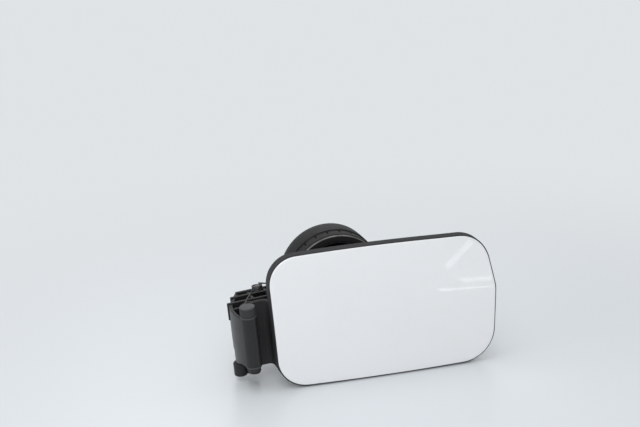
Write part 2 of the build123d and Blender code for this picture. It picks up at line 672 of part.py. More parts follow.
def hinge_block():
    """The barrel with its wall, block and bridge, about the pin."""
    barrel = rod(BARREL_RADIUS, 0, 0, -barrel_end, barrel_end)
    block = barrel + side_wall() + ribbed_block() + foot() + bridge()
    boss_back = housing_peg_back + PEG_BOSS - PEG_RADIUS
    block += rod(PEG_BOSS, HOUSING_PEG_ACROSS, boss_back, -BLOCK_LOW, barrel_end)
    block += rod(PEG_RADIUS, HOUSING_PEG_ACROSS, housing_peg_back, -BLOCK_LOW, peg_top)
    block -= rod(PIN_RADIUS + PIN_CLEAR, 0, 0, -past_all, past_all)
    seat_end = barrel_end - BUSH_LENGTH - SEAT_CLEAR
    block -= rod(bush_radius + SEAT_CLEAR, 0, 0, seat_end, past_all)
    block -= rod(bush_radius + SEAT_CLEAR, 0, 0, -past_all, -seat_end)
    return hinge * block


lug_places = [(LUG_ACROSS + side * LUG_SPACING / 2, -LUG_BELOW) for side in (-1, 1)]


def hinge_housing():
    """The moulded housing: hinge block, ring seat and two screw lugs."""
    seat_radius = FLANGE_RADIUS - COLLAR_CLEAR
    block = hinge_block() - spindle(FLANGE_RADIUS + FLANGE_CLEAR, 0, 0, -past_all, -SEAT_RING_DEPTH)
    housing = block + spindle(seat_radius, 0, 0, -SEAT_RING_DEPTH, 0)
    for x, z in lug_places:
        ring_point = Vector(x, z).normalized() * (FLANGE_RADIUS - LUG_RADIUS)
        web = make_hull([Pos(x, z) * Circle(LUG_RADIUS).edge(),
                         Pos(ring_point.X, ring_point.Y) * Circle(LUG_RADIUS).edge()])
        housing += extrude(Plane.XZ * web, -BACK_PLATE, dir=(0, 1, 0))
        housing += spindle(LUG_RADIUS, x, z, -LUG_DEPTH, 0)
        housing -= spindle(sleeve_radius + SEAT_CLEAR, x, z, -past_all, past_all)
    housing -= spindle(NECK_RADIUS + COLLAR_CLEAR, 0, 0, -past_all, past_all)
    housing -= spindle(TAIL_LIP_RADIUS + COLLAR_CLEAR, 0, 0, SEAT_RING_WALL - SEAT_RING_DEPTH, past_all)
    return housing


def mount_sleeve(x, z):
    """A steel sleeve that keeps the screw from crushing its lug."""
    sleeve = spindle(sleeve_radius, x, z, -LUG_DEPTH, 0)
    return sleeve - spindle(SLEEVE_BORE, x, z, -past_all, past_all)


# Filler collar
def neck_collar():
    """The rubber collar: tail lip, neck in the ring seat, flange, notched band and front lip."""
    seat_front = -SEAT_RING_DEPTH
    tail_front = SEAT_RING_WALL - SEAT_RING_DEPTH + COLLAR_CLEAR / 2
    flange_front = seat_front - COLLAR_CLEAR / 2 - FLANGE_WIDTH
    band_front = flange_front - BAND_WIDTH
    front = band_front - LIP_WIDTH
    profile = Polyline(
        (BORE_RADIUS, 0), (TAIL_LIP_RADIUS, 0), (TAIL_LIP_RADIUS, tail_front),
        (NECK_RADIUS, tail_front), (NECK_RADIUS, seat_front - COLLAR_CLEAR / 2),
        (FLANGE_RADIUS, seat_front - COLLAR_CLEAR / 2), (FLANGE_RADIUS, flange_front),
        (BAND_RADIUS, flange_front), (BAND_RADIUS, band_front), (LIP_RADIUS, band_front),
        (LIP_RADIUS, front), (BORE_RADIUS + LIP_WIDTH, front), (BORE_RADIUS, band_front),
        (BORE_RADIUS, -SEAL_BACK - SEAL_WALL), (SEAL_RADIUS, -SEAL_BACK - SEAL_REACH),
        (SEAL_RADIUS, SEAL_WALL - SEAL_BACK - SEAL_REACH), (BORE_RADIUS, -SEAL_BACK), close=True)
    face = rounded(make_face(profile).face(), [
        ((FLANGE_RADIUS, flange_front), FLANGE_ROUND),
        ((LIP_RADIUS, front), LIP_ROUND),
    ])
    collar = revolve(face, Axis.Y)
    half = NOTCH_WIDTH / 2
    notch = box(NOTCH_RADIUS, FLANGE_RADIUS, flange_front - NOTCH_LENGTH, flange_front, -half, half)
    for i in range(NOTCH_COUNT):
        collar -= Rot(Y=(i + 0.5) * 360 / NOTCH_COUNT) * notch
    return collar


# Every piece, by the name of its node
pieces = {
    "flap_skin": flap_skin(),
    "flap_frame": flap_frame(),
    "hinge_arm": hinge_arm(),
    "hinge_pin": hinge_pin(),
    "pin_cap": pin_cap(),
    "latch_striker": latch_striker(),
    "hinge_housing": hinge_housing(),
    "neck_collar": neck_collar(),
    "upper_bush": bush(1),
    "lower_bush": bush(-1),
    "over_centre_spring": over_centre_spring(),
}
for number, (x, z) in enumerate(arm_screw_places, 1):
    pieces[f"arm_screw_{number}"] = hinge * Pos(x, foot_back, z) * screw(FOOT_WALL)
for number, (u, w) in enumerate(striker_screw_places, 1):
    seat = on_flap(u, w, STRIKER_DEPTH + STRIKER_BASE)
    pieces[f"striker_screw_{number}"] = Pos(seat) * screw(STRIKER_BASE)
for name, up in buffer_places.items():
    pieces[name] = buffer(up)
for number, (x, z) in enumerate(lug_places, 1):
    pieces[f"mount_sleeve_{number}"] = mount_sleeve(x, z)

os.makedirs("parts", exist_ok=True)
for name, piece in pieces.items():
    export_step(piece, f"parts/{name}.step")
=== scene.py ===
# %% [markdown]
# # A car fuel door
#
# A fuel door is the painted flap over a car's filler neck, with the hinge that carries it and the
# rubber collar that seals the neck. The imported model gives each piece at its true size, in metres.
# This lesson gives the pieces their finish: it rebuilds the ones that light plays on, rounds the
# edges of the mouldings, and then lights and frames them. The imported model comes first, because
# every later step takes its places from it.

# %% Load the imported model
import json
from math import atan2, cos, exp, log, pi, radians, sin, sqrt, tan
import bmesh
import bpy
from mathutils import Matrix, Vector
from mathutils.geometry import convex_hull_2d, delaunay_2d_cdt

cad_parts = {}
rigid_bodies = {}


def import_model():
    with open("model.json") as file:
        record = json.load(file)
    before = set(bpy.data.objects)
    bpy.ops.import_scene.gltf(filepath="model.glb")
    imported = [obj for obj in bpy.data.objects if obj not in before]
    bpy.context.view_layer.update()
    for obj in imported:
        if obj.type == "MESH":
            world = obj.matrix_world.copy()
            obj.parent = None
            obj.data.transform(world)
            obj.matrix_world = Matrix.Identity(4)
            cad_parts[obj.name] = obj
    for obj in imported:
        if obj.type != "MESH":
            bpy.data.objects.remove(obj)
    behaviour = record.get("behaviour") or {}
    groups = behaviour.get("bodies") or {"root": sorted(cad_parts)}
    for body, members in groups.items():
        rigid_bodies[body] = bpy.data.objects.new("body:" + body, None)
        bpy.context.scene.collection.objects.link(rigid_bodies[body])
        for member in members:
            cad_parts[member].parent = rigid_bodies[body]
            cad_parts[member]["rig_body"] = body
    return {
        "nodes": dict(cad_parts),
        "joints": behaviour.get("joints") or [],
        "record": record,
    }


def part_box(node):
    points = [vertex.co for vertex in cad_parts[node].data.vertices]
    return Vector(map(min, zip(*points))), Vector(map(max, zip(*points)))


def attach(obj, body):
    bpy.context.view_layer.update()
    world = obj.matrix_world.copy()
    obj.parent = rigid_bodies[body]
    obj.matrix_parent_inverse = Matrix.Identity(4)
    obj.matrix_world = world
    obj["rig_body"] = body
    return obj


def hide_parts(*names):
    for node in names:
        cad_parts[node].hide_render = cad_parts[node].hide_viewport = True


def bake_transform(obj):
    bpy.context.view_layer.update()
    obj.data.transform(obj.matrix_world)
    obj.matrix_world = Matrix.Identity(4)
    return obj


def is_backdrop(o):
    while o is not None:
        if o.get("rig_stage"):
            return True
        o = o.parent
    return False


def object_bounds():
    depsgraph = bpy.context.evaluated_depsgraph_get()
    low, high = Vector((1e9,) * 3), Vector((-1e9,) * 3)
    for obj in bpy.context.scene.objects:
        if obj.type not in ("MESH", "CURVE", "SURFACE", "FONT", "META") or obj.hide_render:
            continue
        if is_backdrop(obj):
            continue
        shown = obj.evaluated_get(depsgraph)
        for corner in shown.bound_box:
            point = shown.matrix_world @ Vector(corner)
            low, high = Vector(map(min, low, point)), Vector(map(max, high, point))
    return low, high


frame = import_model()
cad_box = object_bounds()
nodes = frame["nodes"]
MM = 0.001
print(len(nodes), "nodes, box in mm", [round((hi - lo) / MM, 1) for lo, hi in zip(*cad_box)])


def new_object(name, data):
    """A new object in the scene."""
    thing = bpy.data.objects.new(name, data)
    bpy.context.scene.collection.objects.link(thing)
    return thing


# %% [markdown]
# ## The hinge's own axes
#
# The hinge leans a little, so the pieces on it are easiest to describe in its own axes: x along
# the arm, y into the car, z up the pin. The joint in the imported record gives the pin's place and
# direction. A positive turn opens the flap, which makes the joint's axis point down the pin.

# %% Read the hinge from the record
joint = frame["joints"][0]
pin_up = -Vector(joint["axis"]).normalized()
into_car = Vector((0, 1, 0))
hinge = Matrix((into_car.cross(pin_up), into_car, pin_up)).transposed().to_4x4()
hinge.translation = Vector(joint["pos_m"])
print("hinge at mm", [round(c / MM, 1) for c in hinge.translation])


def local_box(node, place):
    """A node's lowest and highest corner, measured in the axes of a place."""
    inverse = place.inverted()
    points = [inverse @ v.co for v in nodes[node].data.vertices]
    low = Vector(min(p[i] for p in points) for i in range(3))
    high = Vector(max(p[i] for p in points) for i in range(3))
    return low, high


# %% [markdown]
# ## The camera
#
# The picture was taken from the left and above, with a long lens. A camera that looks straight at
# the flap would put it in the middle of the frame, so the camera is swung until the middle of the
# flap falls on its own pixel. No lens shift is needed for that.

# %% Place the camera
IMAGE = (640, 427)
SENSOR = 36.0
LENS = 91.06
VIEW_LEFT = radians(20.5)
VIEW_UP = radians(21.5)
VIEW_DISTANCE = 1420 * MM
FLAP_PIXEL = (388.2, 311.0)
FLAP_MIDDLE = Vector((34.2, -69.0, -19.6)) * MM

level_back = Vector((-sin(VIEW_LEFT), -cos(VIEW_LEFT), 0)) * cos(VIEW_UP)
view_back = level_back + Vector((0, 0, sin(VIEW_UP)))
view_right = Vector((cos(VIEW_LEFT), -sin(VIEW_LEFT), 0))
straight = Matrix((view_right, view_back.cross(view_right), view_back)).transposed()
focal = IMAGE[0] * LENS / SENSOR
ray = Vector(((FLAP_PIXEL[0] - IMAGE[0] / 2) / focal, (IMAGE[1] / 2 - FLAP_PIXEL[1]) / focal, -1))
swing = ray.rotation_difference(Vector((0, 0, -1))).to_matrix()

camera = new_object("camera", bpy.data.cameras.new("camera"))
camera.data.lens = LENS
camera.data.sensor_width = SENSOR
camera_spot = Matrix.Translation(FLAP_MIDDLE + view_back * VIEW_DISTANCE)
camera.matrix_world = camera_spot @ (straight @ swing).to_4x4()
bpy.context.scene.camera = camera
print("camera at mm", [round(c / MM) for c in camera.matrix_world.translation])

# %% [markdown]
# ## Shader sums
#
# Finishes are built from shader nodes. Wiring them by hand hides the idea, so a small class wraps
# a socket: sums on it add Math nodes, and its node method adds any other kind. A mask can then be
# written as 1 - dust, as on paper.


# %% A socket that can be added and multiplied
class Wire:
    """A socket in a node tree. Sums on it add Math nodes."""

    def __init__(self, tree, socket=None):
        self.tree = tree
        self.socket = socket

    def node(self, kind, settings=None, sockets=None, output=0):
        """A new node: its settings first, then the values or links of its sockets."""
        made = self.tree.nodes.new(kind)
        for key, value in (settings or {}).items():
            setattr(made, key, value)
        for key, value in (sockets or {}).items():
            if isinstance(value, Wire):
                self.tree.links.new(value.socket, made.inputs[key])
            else:
                made.inputs[key].default_value = value
        return Wire(self.tree, made.outputs[output])

    def sum(self, operation, first, second):
        """A Math node on two values."""
        return self.node("ShaderNodeMath", {"operation": operation}, {0: first, 1: second})

    def __add__(self, other):
        return self.sum("ADD", self, other)

    def __radd__(self, other):
        return self.sum("ADD", other, self)

    def __sub__(self, other):
        return self.sum("SUBTRACT", self, other)

    def __rsub__(self, other):
        return self.sum("SUBTRACT", other, self)

    def __mul__(self, other):
        return self.sum("MULTIPLY", self, other)

    def __rmul__(self, other):
        return self.sum("MULTIPLY", other, self)


# %% Small makers for what every finish uses
def place_of(wire):
    """The point on the piece, in metres."""
    return wire.node("ShaderNodeTexCoord", output="Object")


def vectors(wire, operation, sockets, output=0):
    """A Vector Math node."""
    return wire.node("ShaderNodeVectorMath", {"operation": operation}, sockets, output)


def noise(wire, size, detail, place):
    """Cloudy noise with lumps of a size in metres."""
    sockets = {"Vector": place, "Scale": 1 / size, "Detail": detail}
    return wire.node("ShaderNodeTexNoise", sockets=sockets, output="Fac")


def between(wire, mask, low, high):
    """A soft step: 0 where the mask is below low, 1 where it is above high."""
    sockets = {"Value": mask, "From Min": low, "From Max": high}
    return wire.node("ShaderNodeMapRange", {"interpolation_type": "SMOOTHSTEP"}, sockets)


def tint(wire, mask, first, second):
    """One colour turning into another with the mask."""
    sockets = {0: mask, 6: first, 7: second}
    return wire.node("ShaderNodeMix", {"data_type": "RGBA"}, sockets, output=2)


def bump(wire, height, depth, strength=1.0):
    """A surface raised by height times depth metres."""
    sockets = {"Height": height, "Distance": depth, "Strength": strength}
    return wire.node("ShaderNodeBump", sockets=sockets)


def facing_up(wire):
    """How far the surface looks up, from -1 to 1."""
    normal = wire.node("ShaderNodeNewGeometry", output="Normal")
    return wire.node("ShaderNodeSeparateXYZ", sockets={0: normal}, output="Z")


EDGE_FAINT = 0.02
EDGE_FULL = 0.25


def edges(wire, radius):
    """1 along sharp edges, fading out over a radius in metres."""
    plain = wire.node("ShaderNodeNewGeometry", output="Normal")
    soft = wire.node("ShaderNodeBevel", {"samples": 4}, {"Radius": radius})
    along = vectors(wire, "DOT_PRODUCT", {0: plain, 1: soft}, "Value")
    return between(wire, 1 - along, EDGE_FAINT, EDGE_FULL)


def grey(value, blue=1.0):
    """A grey, a little warmer or colder than neutral."""
    return (value, value, value * blue, 1)


# %% A finish from a recipe
finishes = {}


def finish(slot, maker, **constants):
    """Makes a finish from a function that wires its sockets, and constants for the rest."""
    material = bpy.data.materials.new(slot)
    material.use_nodes = True
    tree = material.node_tree
    shader = tree.nodes["Principled BSDF"]
    for name, value in constants.items():
        shader.inputs[name.replace("_", " ")].default_value = value
    for name, wire in maker(Wire(tree)).items():
        tree.links.new(wire.socket, shader.inputs[name])
    finishes[slot] = material
    print("finish", slot, "with", len(tree.nodes), "nodes")


# %% [markdown]
# ## White body paint
#
# The flap's skin is sprayed in body colour under a clear coat. Paint is never quite flat: the coat
# dries in a faint orange peel, a millimetre or two across, and a handled panel has a thin film of
# dust that dulls it in patches. A picture could be laid over it, but these marks are so fine that
# noise at their true size is simpler and holds up close by.

# %% Paint for the skin
PAINT_CLOUD = 60 * MM
PAINT_FILM = 9 * MM
PEEL = 1.9 * MM
PEEL_DEPTH = 0.0035 * MM
PAINT_TONES = grey(0.815, 1.010), grey(0.840, 1.010)
FILM_TONE = grey(0.78, 0.99)


def white_paint(wire):
    """Paint that the film of dust dulls in patches."""
    place = place_of(wire)
    cloud = noise(wire, PAINT_CLOUD, 3.0, place)
    film = between(wire, noise(wire, PAINT_FILM, 4.0, place), 0.52, 0.75)
    colour = tint(wire, cloud, *PAINT_TONES)
    return {
        "Base Color": tint(wire, film * 0.25, colour, FILM_TONE),
        "Roughness": 0.30 + film * 0.10,
        "Coat Weight": 0.9 - film * 0.25,
        "Normal": bump(wire, noise(wire, PEEL, 1.0, place), PEEL_DEPTH),
    }


finish("white_paint", white_paint, Coat_Roughness=0.05, IOR=1.5)

# %% [markdown]
# ## Black mouldings
#
# The frame, the arm and the housing are moulded in black plastic. The housing comes from a smooth
# mould and shines where it is seen along its surface. The flap's frame and arm come from a
# spark-eroded mould, and their grain keeps them matt. Their lighter tone is painted fill light that
# lifts the shaded web of the arm and the rim of the frame. One recipe serves both, with its own tone,
# gloss and grain. Dust settles on what faces up, handling polishes the edges, and the melt leaves
# slow waves in the gloss.

# %% Plastic for the frame, the arm and the housing
GRAIN = 0.42 * MM
MELT_WAVES = 14 * MM
DUST_PATCHES = 2.6 * MM
RUBBED_PATCHES = 5 * MM
RUBBED_WIDTH = 0.5 * MM
SPECKS = 1.1 * MM
DUST_TONE = grey(0.10, 0.97)
RUBBED_TONE = grey(0.05)


def moulding(tone, gloss, depth):
    """A recipe for black plastic with a tone, a roughness and a depth of grain."""
    def maker(wire):
        place = place_of(wire)
        flow = noise(wire, MELT_WAVES, 3.0, place)
        up = between(wire, facing_up(wire), 0.35, 1.0)
        dust = up * between(wire, noise(wire, DUST_PATCHES, 4.0, place), 0.36, 0.72)
        handled = between(wire, noise(wire, RUBBED_PATCHES, 3.0, place), 0.35, 0.65)
        rubbed = edges(wire, RUBBED_WIDTH) * handled
        specks = between(wire, noise(wire, SPECKS, 1.0, place), 0.80, 0.84)
        colour = tint(wire, flow, grey(tone * 0.8, 1.03), grey(tone * 1.2, 1.03))
        colour = tint(wire, dust * 0.18 + specks * 0.30, colour, DUST_TONE)
        return {
            "Base Color": tint(wire, rubbed * 0.3, colour, RUBBED_TONE),
            "Roughness": gloss + flow * 0.12 + up * 0.22 - rubbed * 0.05,
            "Normal": bump(wire, noise(wire, GRAIN, 2.0, place), depth, 0.8),
        }
    return maker


smooth_mould = moulding(tone=0.016, gloss=0.33, depth=0.008 * MM)
# lighter tone than the housing: painted fill light for the shaded arm web and frame rim
eroded_mould_painted_fill = moulding(tone=0.033, gloss=0.58, depth=0.020 * MM)
finish("black_moulding", smooth_mould, IOR=1.47, Specular_IOR_Level=0.36)
finish("grained_moulding_painted_fill", eroded_mould_painted_fill, IOR=1.47, Specular_IOR_Level=0.26)

# %% Smooth plastic for the bushes
BUSH_CLOUD = 3 * MM
BUSH_GRAIN = 0.6 * MM
BUSH_DEPTH = 0.004 * MM


def bush_plastic(wire):
    """Plain bearing plastic with a faint cloud in its gloss."""
    place = place_of(wire)
    cloud = noise(wire, BUSH_CLOUD, 3.0, place)
    return {
        "Base Color": tint(wire, cloud, grey(0.045), grey(0.070)),
        "Roughness": 0.34 + cloud * 0.12,
        "Normal": bump(wire, noise(wire, BUSH_GRAIN, 1.0, place), BUSH_DEPTH),
    }


finish("bush_plastic", bush_plastic, IOR=1.48)

# %% [markdown]
# ## Rubber
#
# The collar and the buffers are dull rubber, with a bloom in soft clouds where oils have come out.
# The collar is almost black. Only the outer edge of its lip is painted pale, partly a scuff and partly
# a painted highlight standing for the thin bright line the lip's edge catches. What lies inside the
# lip is kept dark. Both are found from the distance to the axis of the bore, which is the y axis of the
# whole model. The buffers lie further out and further forward, so the same sum paints them grey all
# over.

# %% Rubber for the collar and the buffers
LIP_EDGE = 41.6 * MM
LIP_FOREMOST = 30.9 * MM
LIP_FADE = 0.3 * MM
SCUFF_AND_HIGHLIGHT_FADE = 0.4 * MM
BLOOM = 11 * MM
RUBBER_DUST = 2 * MM
RUBBER_GRAIN = 0.7 * MM
RUBBER_DEPTH = 0.02 * MM
RUBBER_TONES = grey(0.010), grey(0.019, 0.99)
RUBBER_DUST_TONE = grey(0.09, 0.97)
# pale tone of the lip's edge: partly a scuff, partly a painted highlight of its bright edge
SCUFF_AND_HIGHLIGHT_TONE = grey(0.22, 0.99)


def rubber(wire):
    """Dull rubber, painted pale outside the lip's edge and in front of it: a scuff and a painted
    highlight.
    """
    place = place_of(wire)
    bloom = between(wire, noise(wire, BLOOM, 4.0, place), 0.35, 0.75)
    settled = between(wire, noise(wire, RUBBER_DUST, 3.0, place), 0.4, 0.7)
    dust = between(wire, facing_up(wire), 0.4, 1.0) * settled
    flat = vectors(wire, "MULTIPLY", {0: place, 1: (1, 0, 1)})
    radius = vectors(wire, "LENGTH", {0: flat}, "Value")
    depth = wire.node("ShaderNodeSeparateXYZ", sockets={0: place}, output="Y")
    outside = between(wire, radius, LIP_EDGE - LIP_FADE, LIP_EDGE)
    # mask of the pale lip edge: partly scuff, partly painted highlight
    lip_scuff_and_highlight = outside * between(wire, 0 - depth, LIP_FOREMOST, LIP_FOREMOST + SCUFF_AND_HIGHLIGHT_FADE)
    colour = tint(wire, bloom * outside, *RUBBER_TONES)
    colour = tint(wire, dust * 0.10, colour, RUBBER_DUST_TONE)
    return {
        "Base Color": tint(wire, lip_scuff_and_highlight * (0.45 + 0.55 * bloom), colour, SCUFF_AND_HIGHLIGHT_TONE),
        "Roughness": 0.62 + bloom * 0.14 - lip_scuff_and_highlight * 0.15,
        "Normal": bump(wire, noise(wire, RUBBER_GRAIN, 3.0, place), RUBBER_DEPTH, 0.7),
    }


for slot in ("collar_rubber", "buffer_rubber"):
    finish(slot, rubber, IOR=1.5, Specular_IOR_Level=0.28)

# %% [markdown]
# ## Steel
#
# The pin is phosphated, which makes a flat dark grey; screws and sleeves are zinc plated; the
# spring is oiled wire. They share one recipe: a tone, a gloss, and fine lines left by the tool.

# %% Steel for the pin, the screws and the spring
TOOL_LINES = 0.5 * MM
LINE_DEPTH = 0.004 * MM
STEEL_CLOUD = 2.5 * MM


def steel(low, high, gloss, stretch):
    """A recipe for plated or coated steel, with tool lines stretched along one axis."""
    def maker(wire):
        place = place_of(wire)
        lines = noise(wire, TOOL_LINES, 3.0, vectors(wire, "MULTIPLY", {0: place, 1: stretch}))
        cloud = noise(wire, STEEL_CLOUD, 4.0, place)
        return {
            "Base Color": tint(wire, cloud, grey(low, 1.01), grey(high, 1.02)),
            "Roughness": gloss + cloud * 0.14 + lines * 0.05,
            "Normal": bump(wire, lines, LINE_DEPTH, 0.8),
        }
    return maker


finish("pin_steel", steel(0.066, 0.094, 0.50, (1, 1, 0.2)), Metallic=0.55)
finish("screw_steel", steel(0.46, 0.62, 0.24, (1, 0.2, 1)), Metallic=1.0)
finish("spring_steel", steel(0.05, 0.09, 0.34, (0.6, 0.6, 1)), Metallic=0.9)

# %% [markdown]
# ## Putting a piece in place
#
# Most pieces made here stand for one node of the imported model: such a piece rides on the same
# body, takes that node's finish, and hides the plain solid. A few thin shells are only laid over a
# node. Small functions do this for all of them, so no piece is forgotten.

# %% A piece for a node
slot_of = {row["node"]: row["material_slot"] for row in frame["record"]["subparts"]}
# frame and arm take the lighter grained finish, whose tone is painted fill light
finish_of = {**slot_of, "flap_frame": "grained_moulding_painted_fill", "hinge_arm": "grained_moulding_painted_fill"}


def dressed(name, node, mesh, smooth, rides=True):
    """A new piece from a mesh, with the finish of a node."""
    mesh.materials.append(finishes[finish_of[node]])
    mesh.shade_smooth()
    mesh.set_sharp_from_angle(angle=radians(smooth))
    piece = new_object(name, mesh)
    if rides:
        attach(piece, nodes[node]["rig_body"])
    print("piece", name, "with", len(mesh.polygons), "faces")
    return piece


def stand_in(node, mesh, smooth=35, rides=True):
    """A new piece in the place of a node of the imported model."""
    piece = dressed(node + "_piece", node, mesh, smooth, rides)
    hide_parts(node)
    return piece


def mesh_of(name, shape):
    """A mesh from a bmesh, which is then freed."""
    bmesh.ops.recalc_face_normals(shape, faces=shape.faces)
    mesh = bpy.data.meshes.new(name)
    shape.to_mesh(mesh)
    shape.free()
    return mesh


# %% [markdown]
# ## The painted skin
#
# The skin is a crowned sheet with a crease that fades out towards the middle. Paint shows every
# facet, so the sheet is drawn again from the formula of its crown on a fine square grid, and its
# edge is rolled over with a small radius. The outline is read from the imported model: its shape is
# convex, so it is the hull of the node's points, spaced evenly.

# %% The crowned face
HALF_LENGTH = 103.25 * MM
HALF_HEIGHT = 61.15 * MM
CROWN_TALL = 2.2 * MM
CROWN_LONG = 1.8 * MM
CREASE_START = 69.6 * MM
CREASE_RISE = 9.2 * MM
CREASE_DROP = 5.0 * MM
FACET_HEIGHT = 53.0 * MM
FACET_SLOPE = tan(radians(5.0))
CREASE_SOFTNESS = 2.4 * MM
FADE_SOFTNESS = 8.0 * MM


def soft_ramp(t, softness):
    """Zero below nought and t above it, with a soft bend between."""
    return max(t, 0) + softness * log(1 + exp(-abs(t) / softness))


def crease_at(u):
    """How far the facet has opened at u across, and the heights of its lower and upper line."""
    run = soft_ramp(u - HALF_LENGTH + CREASE_START, FADE_SOFTNESS) / CREASE_START
    crease = CREASE_RISE + CREASE_DROP * (1 - run)
    return run, crease, crease + FACET_HEIGHT * run


def crown(u, w):
    """How far the face lies behind its front plane at u across and w up."""
    fall = CROWN_TALL * (w / HALF_HEIGHT) ** 2 + CROWN_LONG * (u / HALF_LENGTH) ** 2
    run, crease, top = crease_at(u)
    climb = soft_ramp(w - crease, CREASE_SOFTNESS) - soft_ramp(w - top, CREASE_SOFTNESS)
    return fall + FACET_SLOPE * run * climb


def on_face(u, w, depth):
    """A point at a depth behind the face."""
    return FLAP_MIDDLE + Vector((u, crown(u, w) + depth, w))


# %% The outline, evenly spaced
OUTLINE_POINTS = 440
OUTLINE_PASSES = 4


def outline_of(node):
    """A node's outline seen from the front, about the middle of the flap."""
    points = [v.co - FLAP_MIDDLE for v in nodes[node].data.vertices]
    flat = [Vector((p.x, p.z)) for p in points]
    hull = [flat[i] for i in convex_hull_2d(flat)]
    lengths = [(hull[i] - hull[i - 1]).length for i in range(len(hull))]
    step = sum(lengths) / OUTLINE_POINTS
    points = []
    travelled = 0.0
    for i, length in enumerate(lengths):
        while len(points) < OUTLINE_POINTS and len(points) * step < travelled + length:
            share = (len(points) * step - travelled) / length
            points.append(hull[i - 1].lerp(hull[i], share))
        travelled += length
    for _ in range(OUTLINE_PASSES):
        after = points[1:] + points[:1]
        points = [(points[i - 1] + 2 * p + after[i]) / 4 for i, p in enumerate(points)]
    return points


def inset(points, distance):
    """A smooth convex outline moved inwards, whichever way round it runs."""
    moved = []
    for i, point in enumerate(points):
        along = points[(i + 1) % len(points)] - points[i - 1]
        side = Vector((-along.y, along.x)).normalized()
        if side.dot(point) > 0:
            side = -side
        moved.append(point + side * distance)
    return moved


skin_outline = outline_of("flap_skin")
reach = [max(p[i] for p in skin_outline) - min(p[i] for p in skin_outline) for i in (0, 1)]
print("outline mm", [round(r / MM, 2) for r in reach])

# %% The sheet, its rolled edge and its back
SKIN_WALL = 2.0 * MM
SKIN_ROLL = 0.75 * MM
ROLL_STEPS = 5
GRID_STEP = 1.9 * MM
GRID_SPREAD = 1.1
GUARD = 0.7 * GRID_STEP
GUARD_STRIDE = 8
SAME_POINT = 1e-7


def face_grid(rim):
    """Triangles over the inside of a rim: the rim's points and a square grid well within it."""
    points = list(rim)
    guard = inset(rim, GUARD)
    sides = [(guard[i - 1], guard[i]) for i in range(0, len(guard), GUARD_STRIDE)]
    columns = int(HALF_LENGTH * GRID_SPREAD / GRID_STEP)
    rows = int(HALF_HEIGHT / GRID_STEP)
    for i in range(-columns, columns + 1):
        for j in range(-rows, rows + 1):
            spot = Vector((i, j)) * GRID_STEP
            turns = [(b - a).cross(spot - a) > 0 for a, b in sides]
            if all(turns) or not any(turns):
                points.append(spot)
    loop = [(i - 1 if i else len(rim) - 1, i) for i in range(len(rim))]
    found = delaunay_2d_cdt(points, loop, [], 1, SAME_POINT)
    return found[0], found[2]


def skin_shape():
    """The crowned sheet as one closed shell."""
    shape = bmesh.new()
    rings = []
    for step in range(ROLL_STEPS + 1):
        angle = pi / 2 * step / ROLL_STEPS
        rings.append((SKIN_ROLL * (1 - sin(angle)), SKIN_ROLL * (1 - cos(angle))))
    rings.append((0.0, SKIN_WALL - SKIN_ROLL / 2))
    rings.append((SKIN_ROLL / 2, SKIN_WALL))
    loops = []
    for distance, depth in rings:
        ring = inset(skin_outline, distance)
        loops.append([shape.verts.new(on_face(p.x, p.y, depth)) for p in ring])
    for first, second in zip(loops, loops[1:]):
        for i in range(len(first)):
            shape.faces.new((first[i - 1], first[i], second[i], second[i - 1]))
    for loop, (distance, depth) in ((loops[0], rings[0]), (loops[-1], rings[-1])):
        spots, faces = face_grid(inset(skin_outline, distance))
        corners = list(loop)
        for spot in spots[len(loop):]:
            corners.append(shape.verts.new(on_face(spot.x, spot.y, depth)))
        for face in faces:
            shape.faces.new([corners[i] for i in face])
    return shape


# %% [markdown]
# ## Turned shapes
#
# Pegs, pins, bushes, screws and buffers are round, so one lathe makes them all: a profile of
# radius and height, with its corners rounded, is spun about an axis. Real parts have no sharp
# corners, and even a tenth of a millimetre of radius catches the light.

# %% A lathe
SIDE_SHARE = 0.45
WELD = 0.001 * MM


def softened(points, radius, steps=3):
    """A profile whose inner corners are rounded by a radius, or by what its sides leave room for."""
    made = [points[0]]
    for before, corner, after in zip(points, points[1:], points[2:]):
        corner = Vector(corner)
        back, onward = Vector(before) - corner, Vector(after) - corner
        reach = min(radius, back.length * SIDE_SHARE, onward.length * SIDE_SHARE)
        start = corner + back.normalized() * reach
        end = corner + onward.normalized() * reach
        for step in range(steps + 1):
            t = step / steps
            made.append(tuple(start * (1 - t) ** 2 + corner * 2 * t * (1 - t) + end * t ** 2))
    made.append(points[-1])
    return made


def turned(shape, profile, place, sides):
    """Adds a profile of (radius, height), spun about the z axis of a place, to a bmesh."""
    rings = []
    circle = [Vector((cos(2 * pi * i / sides), sin(2 * pi * i / sides), 0)) for i in range(sides)]
    for radius, height in profile:
        middle = Vector((0, 0, height))
        if radius < SAME_POINT:
            rings.append([shape.verts.new(place @ middle)])
        else:
            rings.append([shape.verts.new(place @ (middle + out * radius)) for out in circle])
    for first, second in zip(rings, rings[1:]):
        for i in range(sides):
            corners = [first[(i - 1) % len(first)], first[i % len(first)],
                       second[i % len(second)], second[(i - 1) % len(second)]]
            shape.faces.new(list(dict.fromkeys(corners)))
    return shape


def turned_ring(profile, place, sides):
    """A turned shape whose profile comes back to its start and is welded there."""
    shape = turned(bmesh.new(), profile, place, sides)
    bmesh.ops.remove_doubles(shape, verts=shape.verts, dist=WELD)
    return shape


# A turn that makes the z axis look into the car
inwards = Matrix(((1, 0, 0, 0), (0, 0, 1, 0), (0, -1, 0, 0), (0, 0, 0, 1)))


def looking_in(point):
    """A place at a point, whose z axis runs into the car."""
    return Matrix.Translation(point) @ inwards


